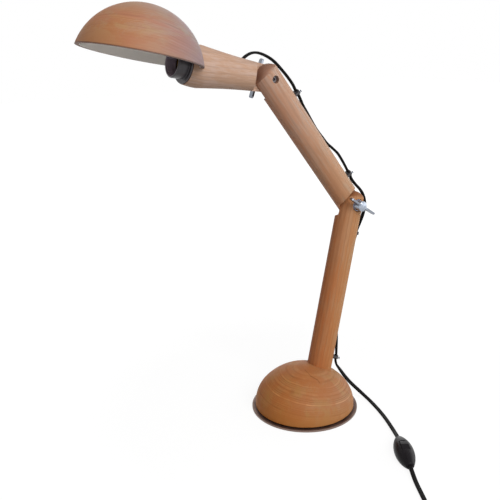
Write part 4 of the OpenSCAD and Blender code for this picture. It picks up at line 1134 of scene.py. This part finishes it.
class LAMP_OT_clips(bpy.types.Operator):
    """Cord clips and their nails on both arms"""
    bl_idname = "lamp.clips"
    bl_label = "Clips and nails"

    def execute(self, context):
        r, nail_off = mm("arm_diameter") / 2, 5.3
        out, wide, corner, half = r + 7.2, 3.9, 0.8, 2.2
        outline = [(0, -wide), (out - corner, -wide), (out, corner - wide), (out, wide - corner),
                   (out - corner, wide), (0, wide)]
        clip = new_object(prism(outline, -half, half, "Z"), "clip_master")
        boss_r, boss_out, slot_low, slot_high, slot_half = 2, r + 6, r + 2.6, r + 6.2, 2.9
        boss = moved(bar(boss_r, 0, boss_out, 40), shift(0, -nail_off, 0) @ turn(90, "Y"))
        cut(clip, boss, operation="UNION")
        cut(clip, box((slot_low, -slot_half, -9), (slot_high, slot_half, 9)), bar(r + 0.15, -20, 20, 160))
        polish(clip, 0.35, 3)
        nail = {"Out": r + 8.1, "Shank radius": 0.8, "Shank length": 18.0, "Head radius": 1.7,
                "Head height": 0.7}
        clips = repeat_tree("clip_repeat", MATERIALS["clip"], clip_shape, "NodeSocketObject", "Clip")
        nails = repeat_tree("nail_repeat", MATERIALS["zinc"], nail_shape, "NodeSocketFloat", *nail)
        for arm, places, matrix, body in (("upper", UPPER_CLIPS, ON_UPPER, "upper_arm"),
                                          ("lower", LOWER_CLIPS, ON_LOWER, "base")):
            spots, heads = [], []
            for z, angle, hand in places:
                a = radians(-angle)
                spots.append(((0, 0, z), (pi if hand > 0 else 0, 0, a)))
                heads.append(((-hand * nail_off * sin(a), hand * nail_off * cos(a), z), (0, 0, a)))
            ob = repeated(arm + "_clip_row", clips, spots, {"Clip": clip})
            settle(ob, matrix, "clip", body, "clip_plastic", arm + "_clips")
            ob = repeated(arm + "_nail_row", nails, heads, nail)
            smooth(ob, 50)
            settle(ob, matrix, "zinc", body, "zinc", arm + "_nails")
        drop(clip)
        return {"FINISHED"}


class LAMP_OT_switch(bpy.types.Operator):
    """Cord switch: lower and upper shell with a parting line, and the rocker key"""
    bl_idname = "lamp.switch"
    bl_label = "Switch"

    @staticmethod
    def oval():
        """Turned oval lying along X with softly rounded ends"""
        half, wide, swell = 31, 12.2, 7.6
        bow = (half ** 2 + swell ** 2) / (2 * swell)
        places = [30.2 * k / 24 for k in range(-24, 25)]
        curve = [(wide - bow + math.sqrt(bow * bow - x * x), x) for x in places]
        profile = [(0, -half), (3.6, -half), (4.3, -30.7)] + curve + [(4.3, 30.7), (3.6, half), (0, half)]
        return moved(lathe(profile, 96), shift(0, 0, SWITCH_MID) @ turn(90, "Y"))

    def execute(self, context):
        lower_top, upper_low, side, high = SWITCH_MID - 0.15, SWITCH_MID + 0.05, 20, 30
        screw_r, screw_deep, screw_at = 2.55, 2.4, 17
        key_x, key_y, key_low = 9.8, 5.3, 7
        lower = new_object(self.oval(), "switch_lower_shell")
        cut(lower, box((-FAR, -side, 0), (FAR, side, lower_top)), operation="INTERSECT")
        cut(lower, *(bar(screw_r, -1, screw_deep, 32, at=(x, 0)) for x in (-screw_at, screw_at)))
        upper = new_object(self.oval(), "switch_upper_shell")
        cut(upper, box((-FAR, -side, upper_low), (FAR, side, high)), operation="INTERSECT")
        cut(upper, box((-key_x, -key_y, key_low), (key_x, key_y, high)))
        for shell, node in ((lower, "switch_base"), (upper, "switch_cover")):
            polish(shell, 0.45, 3)
            settle(shell, ON_SWITCH, "switch", "base", "switch_plastic", node)
        half, wide, low, high, rise = 8.4, 4.9, -2, 6.8, 1.8
        crest = [(half - half * k / 8, high + rise * (1 - abs(1 - k / 8)) ** 0.8) for k in range(1, 16)]
        outline = [(-half, low), (half, low), (half, high)] + crest + [(-half, high)]
        key = new_object(prism(outline, -wide, wide), "switch_key")
        polish(key, 0.5, 3, 25)
        settle(key, ON_SWITCH @ shift(0, 0, 10) @ turn(8, "Y"), "switch", "rocker", "switch_plastic",
               "switch_rocker")
        settle_nodes("zinc", "switch_screws")
        return {"FINISHED"}


class LAMP_OT_plug(bpy.types.Operator):
    """Flat plug with its strain relief and sleeved prongs, and the band round the coil"""
    bl_idname = "lamp.plug"
    bl_label = "Plug"

    def execute(self, context):
        out, ahead = coil_frame(COIL_END)
        on_plug = shift(*(COIL_MID + COIL_R * out + 50 * ahead)) @ turn(COIL_END + 90, "Z")
        front = 36
        half = [(0, 4.6), (3, 5.2), (9, 5.9), (14.4, 6.6), (18, 8.6), (21.5, 12.6), (25, 16.1), (28, 17.3),
                (31, 17.65), (front, 17.65)]
        outline = half + [(x, -y) for x, y in reversed(half)]
        shell = new_object(prism(outline, 0, 2 * PLUG_MID, "Z"), "plug_shell")
        polish(shell, 2.2, 4, 30)
        settle(shell, on_plug, "switch", "base", "switch_plastic", "plug_body")

        settle(self.prongs(front), on_plug, ("switch", "zinc"), "base", "zinc", "plug_pins")

        count, step, back, thick = 9, 2.6, 23, 3.3
        ribs = []
        for k in range(count):
            x, r = step * k - back, thick * (0.55 + 0.45 * k / (count - 1))
            ribs += [(r + 1.0, x), (r + 1.0, x + 1.5), (r + 0.5, x + 1.7), (r + 0.5, x + 2.5)]
        relief = new_object(lathe([(0, -back)] + ribs + [(4.3, 0.4), (0, 0.4)], 48), "plug_relief")
        relief.data.transform(Matrix.Diagonal((0.8, 1.12, 1, 1)))
        polish(relief, 0.12)
        settle(relief, on_plug @ shift(0, 0, PLUG_MID) @ turn(90, "Y"), "cord", "base", "switch_plastic")

        room, wall, wide, pitch, top = 1.9, 0.8, 3, 3.9, 12.9
        inner, outer = COIL_R - pitch * COIL_RINGS / (2 * COIL_TURN) - room, COIL_R + room
        band = new_object(box((inner - wall, -wide, 0), (outer + wall, wide, top + wall)), "coil_band")
        cut(band, box((inner, -9, wall), (outer, 9, top)))
        polish(band, 0.35, 3)
        settle(band, shift(*COIL_MID) @ turn(330, "Z"), "cord", "base", "cord", "coil_tie")
        return {"FINISHED"}

    @staticmethod
    def prongs(front):
        """Two round prongs, sleeved at the plug and rounded at the tip"""
        sleeve_r, sleeve, r, round_at, apart = 1.85, 9.6, 2, 17.2, 9.3
        profile = [(0, -6), (sleeve_r, -6), (sleeve_r, sleeve), (r, sleeve + 0.3)]
        profile += [(x, round_at + (z - round_at) * 0.9) for x, z in arc(0, round_at, r, 0, 90, 8)[:-1]]
        both = bmesh.new()
        for y in (-apart, apart):
            one = new_object(lathe(profile + [(0, 19)], 40), "prong")
            one.data.transform(shift(front, y, PLUG_MID) @ turn(90, "Y"))
            both.from_mesh(one.data)
            drop(one)
        prongs = new_object(both, "plug_prongs")
        polish(prongs, 0)
        for face in prongs.data.polygons:
            face.material_index = int(face.center.x > front + sleeve + 0.05)
        return prongs


class LAMP_PT_panel(bpy.types.Panel):
    """Sizes, colours and steps of the desk lamp"""
    bl_idname = "LAMP_PT_panel"
    bl_label = "Desk lamp"
    bl_space_type = "VIEW_3D"
    bl_region_type = "UI"
    bl_category = "Lamp"

    def draw(self, context):
        for group in (context.scene.lamp_sizes, context.scene.lamp_colours):
            column = self.layout.column()
            for name in group.__annotations__:
                column.prop(group, name)
        for operator in OPERATORS:
            self.layout.operator(operator.bl_idname)


OPERATORS = (LAMP_OT_stage, LAMP_OT_switch, LAMP_OT_plug, LAMP_OT_cords, LAMP_OT_base, LAMP_OT_arms,
             LAMP_OT_head, LAMP_OT_lampholder, LAMP_OT_nuts, LAMP_OT_clips)
CLASSES = (LampSizes, LampColours, *OPERATORS, LAMP_PT_panel)


def register():
    for cls in CLASSES:
        bpy.utils.register_class(cls)
    bpy.types.Scene.lamp_sizes = PointerProperty(type=LampSizes)
    bpy.types.Scene.lamp_colours = PointerProperty(type=LampColours)


def unregister():
    del bpy.types.Scene.lamp_colours
    del bpy.types.Scene.lamp_sizes
    for cls in reversed(CLASSES):
        bpy.utils.unregister_class(cls)


def main():
    register()
    make_materials(bpy.context.scene.lamp_colours)
    for operator in OPERATORS:
        getattr(bpy.ops.lamp, operator.bl_idname.removeprefix("lamp."))()


if __name__ == "__main__":
    main()
